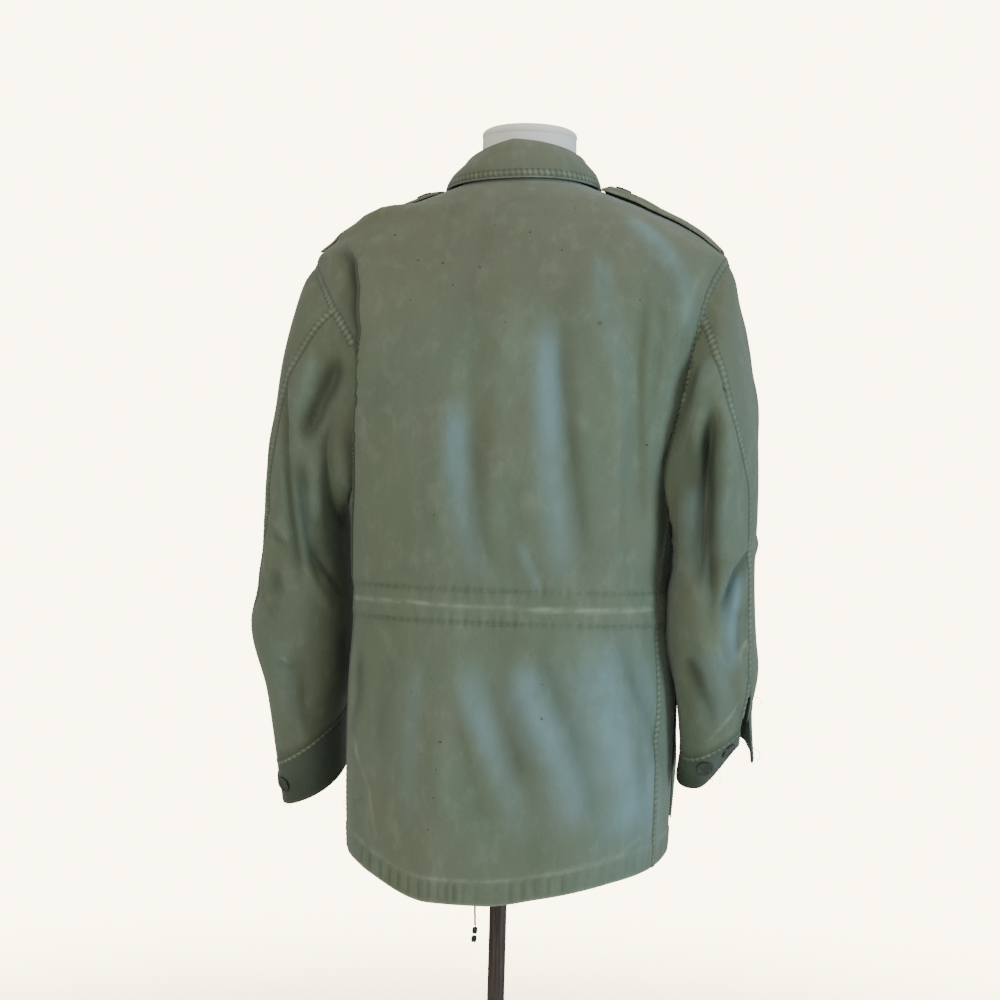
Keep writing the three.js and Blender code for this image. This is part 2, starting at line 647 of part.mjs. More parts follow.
function sleevePiece(name, firstColumn, lastColumn) {
  const spec = SLEEVES[name];
  const outer = [];
  const inner = [];
  for (const v of SLEEVE_ROWS) {
    const outerRow = [];
    const innerRow = [];
    for (let j = firstColumn; j <= lastColumn; j += 1) {
      const edge = j === firstColumn ? 1 : j === lastColumn ? -1 : 0;
      const onBackSeam = j === spec.backSeamColumn || j > 2 * ARMHOLE.steps;
      const open = onBackSeam ? rad(spec.vent) * smooth(0.84, 1, v) : 0;
      const turn = sleeveTurn(spec, j, v) + edge * (SEAM_GAP / 2 / 60 + open);
      const n = sleeveNormal(name, turn, v);
      const p = sleeveBase(name, turn, v);
      if (v === 0) {
        const rim = armholeRim(turn, spec.side);
        p.addScaledVector(rim.across, SEAM_GAP / 2);
        outerRow.push(p);
        innerRow.push(p.clone().addScaledVector(rim.normal, -WALL));
      } else {
        p.addScaledVector(n, sleeveFolds(name, turn, v));
        outerRow.push(p);
        innerRow.push(p.clone().addScaledVector(n, -WALL));
      }
    }
    outer.push(outerRow);
    inner.push(innerRow);
  }
  return wallGeometry(outer, inner);
}

// The cuff's band, w from 0 at the sleeve's end to 1 at its lower edge. Undone, one end of it
// stands away and the other curls up
function cuffPoint(name, turn, w, out) {
  const spec = SLEEVES[name];
  const last = spec.rows[spec.rows.length - 1];
  const ring = {};
  for (const key of Object.keys(last)) ring[key] = lerp(last[key], spec.cuffEnd[key], w);
  const away = out - CUFF.inset + spec.flare * w * smooth(rad(spec.cuffTo - 46), rad(spec.cuffTo), turn);
  ring.outX += away;
  ring.inX -= away;
  ring.depth += away;
  const p = ringPoint(ring, turn, spec.side);
  const curl = w * (1 - smooth(rad(spec.cuffFrom), rad(spec.cuffFrom + 66), turn));
  p.z += spec.curl * curl - CUFF.drop;
  p.y -= spec.curl * curl * 0.4;
  return p;
}

function cuffBand(name) {
  const spec = SLEEVES[name];
  const outer = [];
  const inner = [];
  for (const w of [0, 0.35, 0.7, 1]) {
    const outerRow = [];
    const innerRow = [];
    for (let j = 0; j <= CUFF.columns; j += 1) {
      const turn = rad(lerp(spec.cuffFrom, spec.cuffTo, j / CUFF.columns));
      outerRow.push(cuffPoint(name, turn, w, CUFF.thickness / 2));
      innerRow.push(cuffPoint(name, turn, w, -CUFF.thickness / 2));
    }
    outer.push(outerRow);
    inner.push(innerRow);
  }
  return wallGeometry(outer, inner);
}

function cuffButton(name, label, turn) {
  const { side, buttonAt } = SLEEVES[name];
  const out = CUFF.thickness / 2;
  const seat = cuffPoint(name, turn, buttonAt, out);
  const around = cuffPoint(name, turn + 0.05, buttonAt, out).sub(seat);
  const down = cuffPoint(name, turn, buttonAt + 0.1, out).sub(seat);
  const normal = down.cross(around).normalize();
  if (side < 0) normal.negate();
  buttonMesh(label, seat.addScaledVector(normal, BUTTON.seatGap), normal);
}

// A button is a dished disc on its own axis
function buttonMesh(name, position, normal) {
  const { radius, thickness } = BUTTON;
  const profile = [
    new THREE.Vector2(0, 0),
    new THREE.Vector2(radius * 0.85, 0),
    new THREE.Vector2(radius, thickness * 0.4),
    new THREE.Vector2(radius * 0.9, thickness),
    new THREE.Vector2(radius * 0.62, thickness * 0.72),
    new THREE.Vector2(0, thickness * 0.72),
  ];
  const geometry = new THREE.LatheGeometry(profile, 14);
  geometry.deleteAttribute("uv");
  geometry.deleteAttribute("normal");
  const mesh = addPiece(jacket, name, mergeVertices(geometry, 1e-4), "button");
  mesh.position.copy(position);
  mesh.quaternion.setFromUnitVectors(new THREE.Vector3(0, 1, 0), normal);
}

function addSleeves() {
  for (const name of Object.keys(SLEEVES)) {
    const spec = SLEEVES[name];
    const steps = ARMHOLE.steps;
    const frontColumn = 2 * steps - 6;
    const under = sleevePiece(name, spec.backSeamColumn, frontColumn);
    addPiece(jacket, `sleeve_${name}_under`, under, "cloth");
    const top = sleevePiece(name, frontColumn, 2 * steps + spec.backSeamColumn);
    addPiece(jacket, `sleeve_${name}_top`, top, "cloth");
    addPiece(jacket, `cuff_${name}`, cuffBand(name), "cloth");
    spec.buttons.forEach((degrees, i) => {
      cuffButton(name, `cuff_button_${name}_${i + 1}`, rad(degrees));
    });
  }
}

// The collar: a folded sheet, up its stand, over the roll and down its fall to the yoke
function collarProfile(degreesFromBack) {
  const away = Math.abs(degreesFromBack);
  const at = (name) => column(COLLAR.rows, "angle", name, away);
  const plan = rad(90 + degreesFromBack);
  const e = new THREE.Vector3(Math.cos(plan), Math.sin(plan), 0);
  const x = NECK.x + NECK.halfWidth * e.x;
  const y = NECK.centreY + NECK.halfDepth * e.y;
  const z = yokeHeight(x, y);
  const neck = new THREE.Vector3(x, y, z);
  const angle = Math.atan2(y - section(z).centreY, x - section(z).x);
  const edgeZ = z - at("drop");
  const edge = bodyPoint(angle, edgeZ, at("lift") + COLLAR.thickness);
  const rise = (height, out) => {
    const p = neck.clone().addScaledVector(e, out);
    p.z += height;
    return p;
  };
  const stand = at("stand") - COLLAR.tilt * e.x;
  const lean = at("lean");
  const rollOut = rise(stand - 4, 8 - lean);
  const between = rollOut.clone().lerp(edge, 0.5).addScaledVector(e, 4);
  return [
    rise(1.5, -COLLAR.thickness),
    rise(stand * 0.5, -COLLAR.thickness - lean * 0.5),
    rise(stand - 4, -COLLAR.thickness - lean),
    rise(stand + 1, 1 - lean),
    rise(stand + 0.5, 4.5 - lean),
    rollOut,
    between,
    edge,
  ];
}

function gridNormal(grid, i, j) {
  const rows = grid.length - 1;
  const cols = grid[0].length - 1;
  const alongRow = grid[i][Math.min(j + 1, cols)].clone().sub(grid[i][Math.max(j - 1, 0)]);
  const alongColumn = grid[Math.min(i + 1, rows)][j].clone().sub(grid[Math.max(i - 1, 0)][j]);
  return alongRow.cross(alongColumn).normalize();
}

function addCollar() {
  const columns = 30;
  const profiles = [];
  for (let j = 0; j <= columns; j += 1) {
    profiles.push(collarProfile(lerp(-COLLAR.reach, COLLAR.reach, j / columns)));
  }
  const outer = profiles[0].map((_, i) => profiles.map((profile) => profile[i]));
  const inner = outer.map((row, i) =>
    row.map((p, j) => p.clone().addScaledVector(gridNormal(outer, i, j), COLLAR.thickness)),
  );
  addPiece(jacket, "collar", wallGeometry(outer, inner), "cloth");
}

// A shoulder strap, sewn in at the armhole and buttoned near the collar
function strapPoint(spec, along, across, out) {
  const x = lerp(STRAP.outerX, STRAP.innerX, along);
  const half = lerp(STRAP.halfWidthOuter, STRAP.halfWidthInner, along);
  const point = 1 - smooth(0.9, 1, along) * 0.35 * Math.abs(across);
  const y = -3 + across * half;
  const xTip = x + (1 - point) * 10;
  const z = yokeHeight(spec.side * xTip, y);
  const angle = Math.atan2(y - section(z).centreY, spec.side * xTip - section(z).x);
  const hump = Math.sin(Math.PI * clamp(along, 0, 1)) ** 0.8;
  const lift = 1.2 + hump * (spec.rise + spec.tilt * across * 2.2) + spec.end * smooth(0.4, 1, along);
  const n = bodyNormal(angle, z);
  return bodyPoint(angle, z).addScaledVector(n, lift + out);
}

function addEpaulettes() {
  for (const spec of EPAULETTES) {
    const outer = [];
    const inner = [];
    for (let i = 0; i <= 11; i += 1) {
      const alongs = i / 11;
      outer.push([-1, -0.5, 0, 0.5, 1].map((a) => strapPoint(spec, alongs, a, STRAP.thickness)));
      inner.push([-1, -0.5, 0, 0.5, 1].map((a) => strapPoint(spec, alongs, a, 0)));
    }
    addPiece(jacket, spec.name, wallGeometry(outer, inner), "cloth");
    const seat = strapPoint(spec, 0.84, 0, STRAP.thickness);
    const length = strapPoint(spec, 0.89, 0, STRAP.thickness).sub(seat);
    const width = strapPoint(spec, 0.84, 0.4, STRAP.thickness).sub(seat);
    const up = length.cross(width).normalize();
    if (up.z < 0) up.negate();
    buttonMesh(`${spec.name}_button`, seat.addScaledVector(up, 0.5), up);
  }
}

// Heights of a patch's rows: its own, and the front's rows between them
function patchHeights(own) {
  const bottom = own[0];
  const top = own[own.length - 1];
  const hem = hemHeight(1.5 * Math.PI);
  const neck = neckHeight(1.5 * Math.PI);
  const panel = panelRows().map((row) => {
    if (row.part === "skirt") return lerp(hem, ARMPIT_Z, row.share);
    if (row.part === "armhole") return armholeHeight(row.turn);
    return lerp(SHOULDER_TIP_Z, neck, row.share);
  });
  const between = panel.filter((z) => z > bottom && z < top && own.every((o) => Math.abs(o - z) > 4));
  return [...own, ...between].sort((a, b) => a - b);
}

// A patch that lies on a front, made from the front's own points moved out
function patchGeometry(heights, columns, pointAt) {
  const outer = [];
  const inner = [];
  for (const z of heights) {
    const outerRow = [];
    const innerRow = [];
    for (let j = 0; j <= columns; j += 1) {
      const p = pointAt(j / columns, z);
      outerRow.push(bodyPoint(p.angle, p.z ?? z, p.lift + p.thickness));
      innerRow.push(bodyPoint(p.angle, p.z ?? z, p.lift));
    }
    outer.push(outerRow);
    inner.push(innerRow);
  }
  return wallGeometry(outer, inner);
}

function alongFront(centreDegrees, offset, z) {
  const angle = rad(centreDegrees);
  const middle = bodyBase(angle, z);
  const radius = Math.hypot(middle.x, middle.y - section(z).centreY);
  return angle + offset / radius;
}

function addPockets() {
  for (const pocket of POCKETS) {
    const { angle, width, bulge } = pocket;
    const bagTop = pocket.top - 12;
    const bag = patchGeometry(patchHeights([pocket.bottom, bagTop]), 8, (s, z) => {
      const t = (z - pocket.bottom) / (bagTop - pocket.bottom);
      const dome = Math.sin(Math.PI * s) * Math.sin(Math.PI * Math.min(t + 0.08, 1));
      const lift = 1 + bulge * Math.max(dome, 0) ** 0.6;
      return { angle: alongFront(angle, (s - 0.5) * width, z), lift, thickness: 1.4 };
    });
    addPiece(jacket, pocket.name, bag, "cloth");
    const low = pocket.top - pocket.flap;
    const flap = patchGeometry(patchHeights([low, pocket.top - 9, pocket.top]), 8, (s, level) => {
      const t = (level - low) / pocket.flap;
      const edge = Math.abs(s - 0.5) * 2;
      const z = pocket.top - (pocket.top - level) * (1 - 0.16 * edge ** 1.5);
      const outward = bulge * Math.sin(Math.PI * s) ** 0.6 * (1 - smooth(0.4, 1.05, t));
      return {
        angle: alongFront(angle, (s - 0.5) * (width + 8), z),
        z,
        lift: level > pocket.top - 1 ? 0.9 : 4.7 + outward,
        thickness: 1.8,
      };
    });
    addPiece(jacket, `${pocket.name}_flap`, flap, "cloth");
  }
}

function addPlacket() {
  const centre = 1.5 * Math.PI;
  const heights = patchHeights([hemHeight(centre) + 2, neckHeight(centre) - 5]);
  const placket = patchGeometry(heights, 4, (s, z) => ({
    angle: alongFront(270, (s - 0.5) * 2 * PLACKET.halfWidth, z),
    lift: PLACKET.lift,
    thickness: PLACKET.thickness,
  }));
  addPiece(jacket, "fly_placket", placket, "cloth");
}

// The free end of the hem's drawcord, hanging from the left front, with two knots
const CORD_ROUTE = [
  { x: 0, y: 0, down: 0 },
  { x: 0.6, y: 0.5, down: 0.12 },
  { x: 1.6, y: 1, down: 0.28 },
  { x: 2.2, y: 1.6, down: 0.45 },
  { x: 1.8, y: 2, down: 0.62 },
  { x: 0.6, y: 2.2, down: 0.8 },
  { x: -0.6, y: 2.4, down: 1 },
];

function addCord() {
  const angle = rad(CORD.angle);
  const z = hemHeight(angle) + 8;
  const start = bodyInner(angle, z);
  start.addScaledVector(bodyNormal(angle, z), -(CORD.diameter / 2 + 0.8));
  const points = CORD_ROUTE.map(
    (p) => new THREE.Vector3(start.x + p.x, start.y + p.y, start.z - p.down * CORD.length),
  );
  const path = new THREE.CatmullRomCurve3(points);
  const ring = new THREE.Shape();
  ring.absarc(0, 0, CORD.diameter / 2, 0, 2 * Math.PI);
  const settings = { steps: 16, extrudePath: path, curveSegments: 8, bevelEnabled: false };
  addPiece(jacket, "hem_drawcord", new THREE.ExtrudeGeometry(ring, settings), "cord");
  const end = points[points.length - 1];
  for (let k = 0; k < 2; k += 1) {
    const knot = new THREE.IcosahedronGeometry(CORD.knotRadius, 1);
    knot.deleteAttribute("uv");
    knot.deleteAttribute("normal");
    knot.scale(1, 0.9, CORD.knotLength / 2 / CORD.knotRadius);
    const drop = 0.4 + CORD.knotLength / 2 + k * (CORD.knotLength + 0.3);
    const mesh = addPiece(jacket, `drawcord_knot_${k + 1}`, mergeVertices(knot, 1e-4), "cord");
    mesh.position.set(end.x + k * 0.8, end.y, end.z - drop);
  }
}

// How far the form's skin keeps from the cloth's inner face, by height
const FORM_CLEARANCE = [
  { z: 722, gap: 26 },
  { z: 800, gap: 18 },
  { z: 938, gap: 34 },
  { z: 1045, gap: 24 },
  { z: 1200, gap: 16 },
  { z: 1290, gap: 13 },
  { z: 1330, gap: 4 },
  { z: 1352, gap: 1.3 },
  { z: 1402, gap: 3.5 },
];
const FORM_LEVELS = [
  722, 726, 745, 790, 840, 890, 938, 990, 1045, 1100, 1155, 1205, 1245, 1275, 1297,
];
const FORM_YOKE = [0, 0.12, 0.3, 0.5, 0.7, 0.86, 1];
const FORM_NECK = [
  { share: 0.02, blend: 0.55 },
  { share: 0.3, blend: 0.95 },
  { share: 0.6, blend: 1 },
  { share: 1, blend: 1 },
];

function formPoint(angle, z) {
  const gap = column(FORM_CLEARANCE, "z", "gap", z);
  const rounding = 14 * (1 - smooth(FORM.bottomZ, FORM.bottomZ + 24, z)) ** 2;
  const p = bodyBase(angle, z).addScaledVector(bodyNormal(angle, z), -(WALL + gap + rounding));
  if (z < 1300) p.z = z;
  return p;
}

function neckPoint(angle, radius, z) {
  const y = FORM.neckY + radius * 0.98 * Math.sin(angle);
  return new THREE.Vector3(FORM.neckX + radius * Math.cos(angle), y, z);
}

function ringOf(count, pointAt) {
  return Array.from({ length: count }, (_, j) => pointAt((j / count) * 2 * Math.PI));
}

function addForm() {
  const count = 30;
  const r = FORM.neckRadius;
  const torso = FORM_LEVELS.map((z) => ringOf(count, (angle) => formPoint(angle, z)));
  const yoke = FORM_YOKE.map((share) =>
    ringOf(count, (angle) => {
      return formPoint(angle, lerp(SHOULDER_TIP_Z, neckHeight(angle), share));
    }),
  );
  const neck = FORM_NECK.map(({ share, blend }) =>
    ringOf(count, (angle) => {
      const low = formPoint(angle, neckHeight(angle));
      const z = lerp(low.z, FORM.neckTopZ, share);
      return low.setZ(z).lerp(neckPoint(angle, r, z), blend);
    }),
  );
  addPiece(form, "form_torso", loftGeometry([...torso, ...yoke, ...neck]), "form");
  const top = FORM.neckTopZ + 0.3;
  const cap = [
    [top, r],
    [top + 3, r + 0.6],
    [top + 8, r - 2],
    [top + 10.5, r - 9],
    [top + 11.5, r - 24],
  ].map(([z, radius]) => ringOf(count, (angle) => neckPoint(angle, radius, z)));
  addPiece(form, "form_neck_cap", loftGeometry(cap), "form");
}

function addRound(name, points, segments, finish) {
  const profile = points.map(([radius, z]) => new THREE.Vector2(radius, z));
  const geometry = new THREE.LatheGeometry(profile, segments);
  geometry.rotateX(Math.PI / 2);
  geometry.deleteAttribute("uv");
  geometry.deleteAttribute("normal");
  addPiece(stand, name, mergeVertices(geometry, 1e-4), finish);
}

function addStand() {
  const { radius, height, edge } = FOOT;
  const footProfile = [
    [0, 0],
    [radius - 2, 0],
    [radius, 2],
    [radius, height - edge],
    [radius - edge * 0.3, height - edge * 0.3],
    [radius - edge, height],
    [0, height],
  ];
  addRound("stand_foot", footProfile, 48, "wood");
  const bossTop = height + 34;
  const boss = [
    [0, height + 0.3],
    [30, height + 0.3],
    [30, height + 8],
    [20, height + 16],
    [17, bossTop],
    [0, bossTop],
  ];
  addRound("stand_boss", boss, 24, "wood");
  const plateZ = FORM.bottomZ - 12.3;
  const plate = [
    [0, plateZ],
    [46, plateZ],
    [48, plateZ + 2],
    [48, plateZ + 12],
    [0, plateZ + 12],
  ];
  addRound("stand_plate", plate, 24, "wood");
  const pole = [
    [0, bossTop + 0.3],
    [POLE_RADIUS, bossTop + 0.3],
    [POLE_RADIUS, plateZ - 0.3],
    [0, plateZ - 0.3],
  ];
  addRound("stand_pole", pole, 20, "wood");
}

addBody();
addSleeves();
addCollar();
addEpaulettes();
addPlacket();
addPockets();
addCord();
addForm();
addStand();

const part = new THREE.Group();
part.add(jacket, form, stand);

export default part;
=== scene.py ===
import math

import bpy
import numpy as np
from mathutils import Matrix, Vector
from mathutils.bvhtree import BVHTree


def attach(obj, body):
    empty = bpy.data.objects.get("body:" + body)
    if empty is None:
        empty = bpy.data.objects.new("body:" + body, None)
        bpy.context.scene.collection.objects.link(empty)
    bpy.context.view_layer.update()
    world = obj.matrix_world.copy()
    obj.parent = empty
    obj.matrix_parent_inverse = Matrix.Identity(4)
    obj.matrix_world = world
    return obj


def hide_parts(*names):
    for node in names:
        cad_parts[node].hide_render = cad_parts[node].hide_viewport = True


# A worn field jacket on a dress form, seen from behind.
# Shapes are worked out in millimetres, round the jacket's own axis, and become metres in each mesh.

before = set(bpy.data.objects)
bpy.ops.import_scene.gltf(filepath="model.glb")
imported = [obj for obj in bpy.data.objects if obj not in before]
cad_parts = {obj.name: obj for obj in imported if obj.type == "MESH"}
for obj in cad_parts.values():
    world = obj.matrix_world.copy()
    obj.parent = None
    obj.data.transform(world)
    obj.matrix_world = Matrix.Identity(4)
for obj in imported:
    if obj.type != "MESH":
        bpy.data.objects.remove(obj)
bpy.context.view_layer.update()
mm = 0.001
bodyY = -20  # the jacket and the form stand this far in front of the pole
rng = np.random.default_rng(64)

view = dict(turn=12.0, distance=1.9, height=1.05, focal=1727.0, roll=1.6, axisShift=9.5, image=1000.0)


def makeCamera():
    turn = math.radians(view["turn"])
    back = Vector((-math.sin(turn), math.cos(turn), 0))
    right = Vector((-math.cos(turn), -math.sin(turn), 0))
    up = Vector((0, 0, 1))
    facing = Matrix((right, up, back)).transposed().to_4x4()
    facing = facing @ Matrix.Rotation(math.radians(view["roll"]), 4, "Z")
    data = bpy.data.cameras.new("photoCamera")
    camera = bpy.data.objects.new("photoCamera", data)
    bpy.context.scene.collection.objects.link(camera)
    camera.matrix_world = Matrix.Translation(back * view["distance"] + up * view["height"]) @ facing
    data.sensor_width = 36
    data.lens = 36 * view["focal"] / view["image"]
    data.shift_x = -view["axisShift"] / view["image"]
    bpy.context.scene.camera = camera


def sight(px, py):  # the line of sight through a pixel of the photograph, in the jacket's millimetres
    turn, roll = math.radians(view["turn"]), math.radians(view["roll"])
    dx, dy = px - view["image"] / 2 - view["axisShift"], py - view["image"] / 2
    across = dx * math.cos(roll) + dy * math.sin(roll)
    down = dy * math.cos(roll) - dx * math.sin(roll)
    forward = np.array([math.sin(turn), -math.cos(turn), 0])
    right = np.array([-math.cos(turn), -math.sin(turn), 0])
    start = -forward * view["distance"] / mm + np.array([0, -bodyY, view["height"] / mm])
    way = forward * view["focal"] + right * across - np.array([0, 0, down])
    return Vector(start), Vector(way).normalized()


makeCamera()
print("camera placed")


# Numbers

def columnOf(rows, key, name, at):  # a table's column, eased between its rows without overshoot
    xs = np.array([row[key] for row in rows], float)
    ys = np.array([row[name] for row in rows], float)
    at = np.clip(np.asarray(at, float), xs[0], xs[-1])
    steps = np.diff(xs)
    slopes = np.diff(ys) / steps
    tangents = np.concatenate([slopes[:1], np.zeros(len(xs) - 2), slopes[-1:]])
    for k in range(1, len(xs) - 1):
        before, after = slopes[k - 1], slopes[k]
        if before * after > 0:
            tangents[k] = 2 * before * after / (before + after)
    i = np.clip(np.searchsorted(xs, at, side="right") - 1, 0, len(xs) - 2)
    h = steps[i]
    s = (at - xs[i]) / h
    return (
        ys[i] * (1 + 2 * s) * (1 - s) ** 2
        + ys[i + 1] * s * s * (3 - 2 * s)
        + tangents[i] * h * s * (1 - s) ** 2
        - tangents[i + 1] * h * s * s * (1 - s)
    )


def smooth(low, high, value):
    t = np.clip((np.asarray(value, float) - low) / (high - low), 0, 1)
    return t * t * (3 - 2 * t)


def lerp(a, b, share):
    return a + (b - a) * share


def unit(v):
    return v / np.maximum(np.linalg.norm(v, axis=-1, keepdims=True), 1e-9)


def bump(x, width):  # a soft hump, 1 in the middle
    return np.exp(-((x / width) ** 2))


def wander(x, seed, scale=1.0):  # a slow uneven wave between about -1 and 1
    offsets = np.random.default_rng(seed).uniform(0, 6.28, 4)
    waves = [(1.0, 0.5), (1.73, 0.3), (2.91, 0.2), (0.43, 0.4)]
    return sum(size * np.sin(x * rate / scale + o) for (rate, size), o in zip(waves, offsets))


# The jacket's measured shape

wall = 1.6
shoulderTipZ = 1314
armpitZ = 1045
waistZ = 938
neck = dict(x=3, centreY=-22, halfWidth=71, halfDepth=66)

bodyColumns = ("z", "x", "halfWidth", "back", "front", "centreY", "square")
bodySections = [
    dict(zip(bodyColumns, row))
    for row in [
        (625, -3, 173, 149, 152, -10, 2.5),
        (730, -2.5, 178.5, 148, 150, -10, 2.5),
        (836, -3, 180, 143, 144, -9, 2.5),
        (938, -1.5, 175, 131, 134, -7, 2.5),
        (1045, 0, 182, 129, 136, -2, 2.5),
        (1155, 0, 199, 127, 131, 0, 2.85),
        (1230, 0, 213, 121, 122, 2, 2.9),
        (1285, 0, 226, 110, 108, 2, 2.5),
        (1314, 0, 230, 101, 98, 2, 2.3),
        (1333, 0, 212, 97, 91, 0, 2.15),
        (1351, 3, 187, 91, 81, -3, 2.1),
        (1365, 9, 163, 88, 73, -5.5, 2.05),
        (1375, -1, 132, 85, 65, -8, 2),
        (1394, -2, 84, 71, 47, -14, 2),
        (1420, -1, 24, 30, 20, -20, 2),
    ]
]
hemRows = [
    dict(angle=a, z=z)
    for a, z in [
        (-90, 655), (-30, 664), (0, 670), (22, 663), (42, 651), (70, 629),
        (92, 630), (115, 641), (145, 658), (180, 668), (230, 660), (270, 655),
    ]
]
sideSeamRows = [dict(z=z, y=y) for z, y in [(625, 46), (836, 50), (938, 46), (1045, 34)]]
armhole = dict(centreBottomY=34, centreTopY=4, steps=11)
reachColumns = ("z", "backLeft", "backRight", "front")
armholeReach = [
    dict(zip(reachColumns, row))
    for row in [
        (1045, 62, 40, 66),
        (1100, 66, 38, 69),
        (1155, 74, 38, 71),
        (1230, 86, 48, 71),
        (1285, 76, 56, 66),
        (1314, 60, 56, 60),
    ]
]

# Soft folds of the body: angle and height of both ends, half width, depth (out is positive) and bow
foldColumns = ("a0", "z0", "a1", "z1", "width", "depth", "bow")
bodyFolds = [
    dict(zip(foldColumns, row))
    for row in [
        (141, 1290, 150, 960, 12, -6, 0),
        (126, 1270, 131, 985, 18, 4, 0),
        (97, 1260, 88, 960, 22, 4, 0),
        (80, 1220, 74, 965, 20, -3, 0),
        (112, 925, 124, 655, 26, 5, 0),
        (96, 910, 99, 660, 22, -4, 0),
        (74, 915, 68, 650, 26, 3, 0),
        (42, 905, 36, 660, 16, -4, 0),
        (10, 1336, 21, 1371, 16, 5, 0),
        (306, 1060, 314, 900, 20, -4, 0),
        (234, 1060, 226, 900, 20, -4, 0),
        (312, 1290, 322, 1090, 16, 3, 0),
        (228, 1290, 218, 1090, 16, 3, 0),
    ]
]
channel = dict(low=921, high=955, stand=1.1)
gather = dict(count=61, depth=1.05, reach=32, bareFront=16)
hemBand = dict(height=25, stand=0.9)
pleat = dict(under=11, reach=20, proud=4.5, softness=26, tuck=5, top=(1276, 1338), low=(941, 967))

# Where things lie in the photograph, in its pixels. Creases have a depth (out is positive) and a half width
pleatLine = [(352, 236), (357, 262), (360, 290), (361, 330), (358, 400), (357, 480), (356, 540), (356, 592)]
creasePlaces = dict(
    body=[
        (4.5, 20, [(543, 285), (539, 330), (533, 400), (530, 470), (535, 540), (538, 600)]),
        (-5, 13, [(556, 300), (561, 380), (570, 450), (580, 520), (588, 598)]),
        (3, 20, [(466, 350), (456, 410), (445, 470), (448, 530), (466, 592)]),
        (-3, 13, [(474, 380), (474, 450), (481, 520), (494, 596)]),
        (1.5, 7, [(512, 530), (524, 560), (536, 600)]),
        (-2, 6, [(520, 535), (534, 565), (548, 600)]),
        (-5.5, 8, [(641, 255), (643, 310), (639, 380), (641, 450), (646, 560)]),
        (3.5, 15, [(622, 240), (620, 320), (618, 400), (620, 480), (630, 560)]),
        (-4, 7, [(654, 282), (663, 325), (656, 375), (650, 430)]),
        (5, 14, [(606, 205), (640, 232), (668, 262), (684, 300), (692, 330)]),
        (-3.5, 10, [(636, 250), (655, 262), (672, 292), (682, 330)]),
        (2, 14, [(588, 225), (590, 290), (603, 350), (618, 400)]),
        (-2, 10, [(603, 240), (606, 300), (618, 350), (632, 400)]),
        (-1.5, 20, [(490, 205), (474, 260), (470, 340)]),
        (-8, 9, [(704, 352), (693, 385), (680, 425), (668, 462), (668, 500)]),
        (4, 22, [(572, 640), (596, 700), (618, 765), (622, 840)]),
        (-5, 12, [(600, 612), (626, 660), (646, 706), (664, 780)]),
        (-4, 15, [(532, 632), (556, 700), (580, 765), (596, 832)]),
        (3.5, 16, [(505, 640), (520, 695), (545, 755), (572, 835)]),
        (-3, 12, [(484, 642), (490, 690), (510, 745), (530, 800)]),
        (3, 14, [(464, 640), (464, 690), (478, 740), (500, 800), (518, 860)]),
        (-2.5, 12, [(452, 700), (470, 780), (486, 850)]),
        (2, 14, [(440, 650), (436, 720), (444, 800), (455, 860)]),
        (2, 4, [(352, 722), (357, 758), (368, 792), (378, 845)]),
        (-3, 16, [(392, 640), (384, 700), (376, 760)]),
        (2.5, 14, [(420, 640), (410, 700), (400, 770), (398, 840)]),
        (1.5, 4, [(642, 834), (626, 849), (610, 861)]),
    ],
    left=[
        (-11, 10, [(341, 352), (328, 385), (312, 420), (299, 447)]),
        (5, 12, [(318, 350), (305, 385), (290, 425)]),
        (-7, 10, [(300, 447), (303, 490), (310, 540), (322, 590)]),
        (5, 10, [(318, 445), (316, 485), (322, 525)]),
        (-6, 7, [(336, 405), (328, 450), (333, 495), (345, 530)]),
        (5, 12, [(348, 420), (345, 470), (349, 505)]),
        (-4, 7, [(308, 540), (325, 565), (345, 600)]),
        (3, 8, [(300, 560), (318, 590), (338, 618)]),
        (-3, 8, [(262, 588), (268, 605), (276, 622)]),
        (3, 6, [(267, 516), (279, 527), (291, 545)]),
        (-3, 6, [(270, 530), (284, 546), (292, 565)]),
        (-4, 12, [(300, 640), (305, 700), (312, 745)]),
        (3, 14, [(278, 650), (285, 700), (296, 750)]),
        (-3, 8, [(270, 660), (288, 668), (302, 664)]),
    ],
    right=[
        (7, 10, [(712, 350), (706, 385), (697, 425), (688, 462)]),
        (-12, 10, [(714, 388), (710, 430), (705, 480), (701, 540), (699, 598)]),
        (6, 12, [(728, 400), (722, 460), (716, 520), (714, 580)]),
        (5, 12, [(692, 480), (684, 530), (682, 590)]),
        (4, 6, [(752, 548), (738, 553), (726, 562), (722, 575)]),
        (-5, 7, [(750, 560), (738, 572), (730, 600), (728, 640)]),
        (3, 5, [(745, 562), (738, 585), (733, 612)]),
        (-4, 8, [(742, 600), (740, 640), (742, 665)]),
        (3, 5, [(752, 640), (742, 655), (740, 680), (736, 700)]),
        (4, 12, [(700, 620), (715, 670), (735, 720)]),
        (-5, 10, [(690, 655), (700, 690), (715, 730)]),
        (-3, 9, [(722, 640), (733, 690), (742, 722)]),
    ],
)
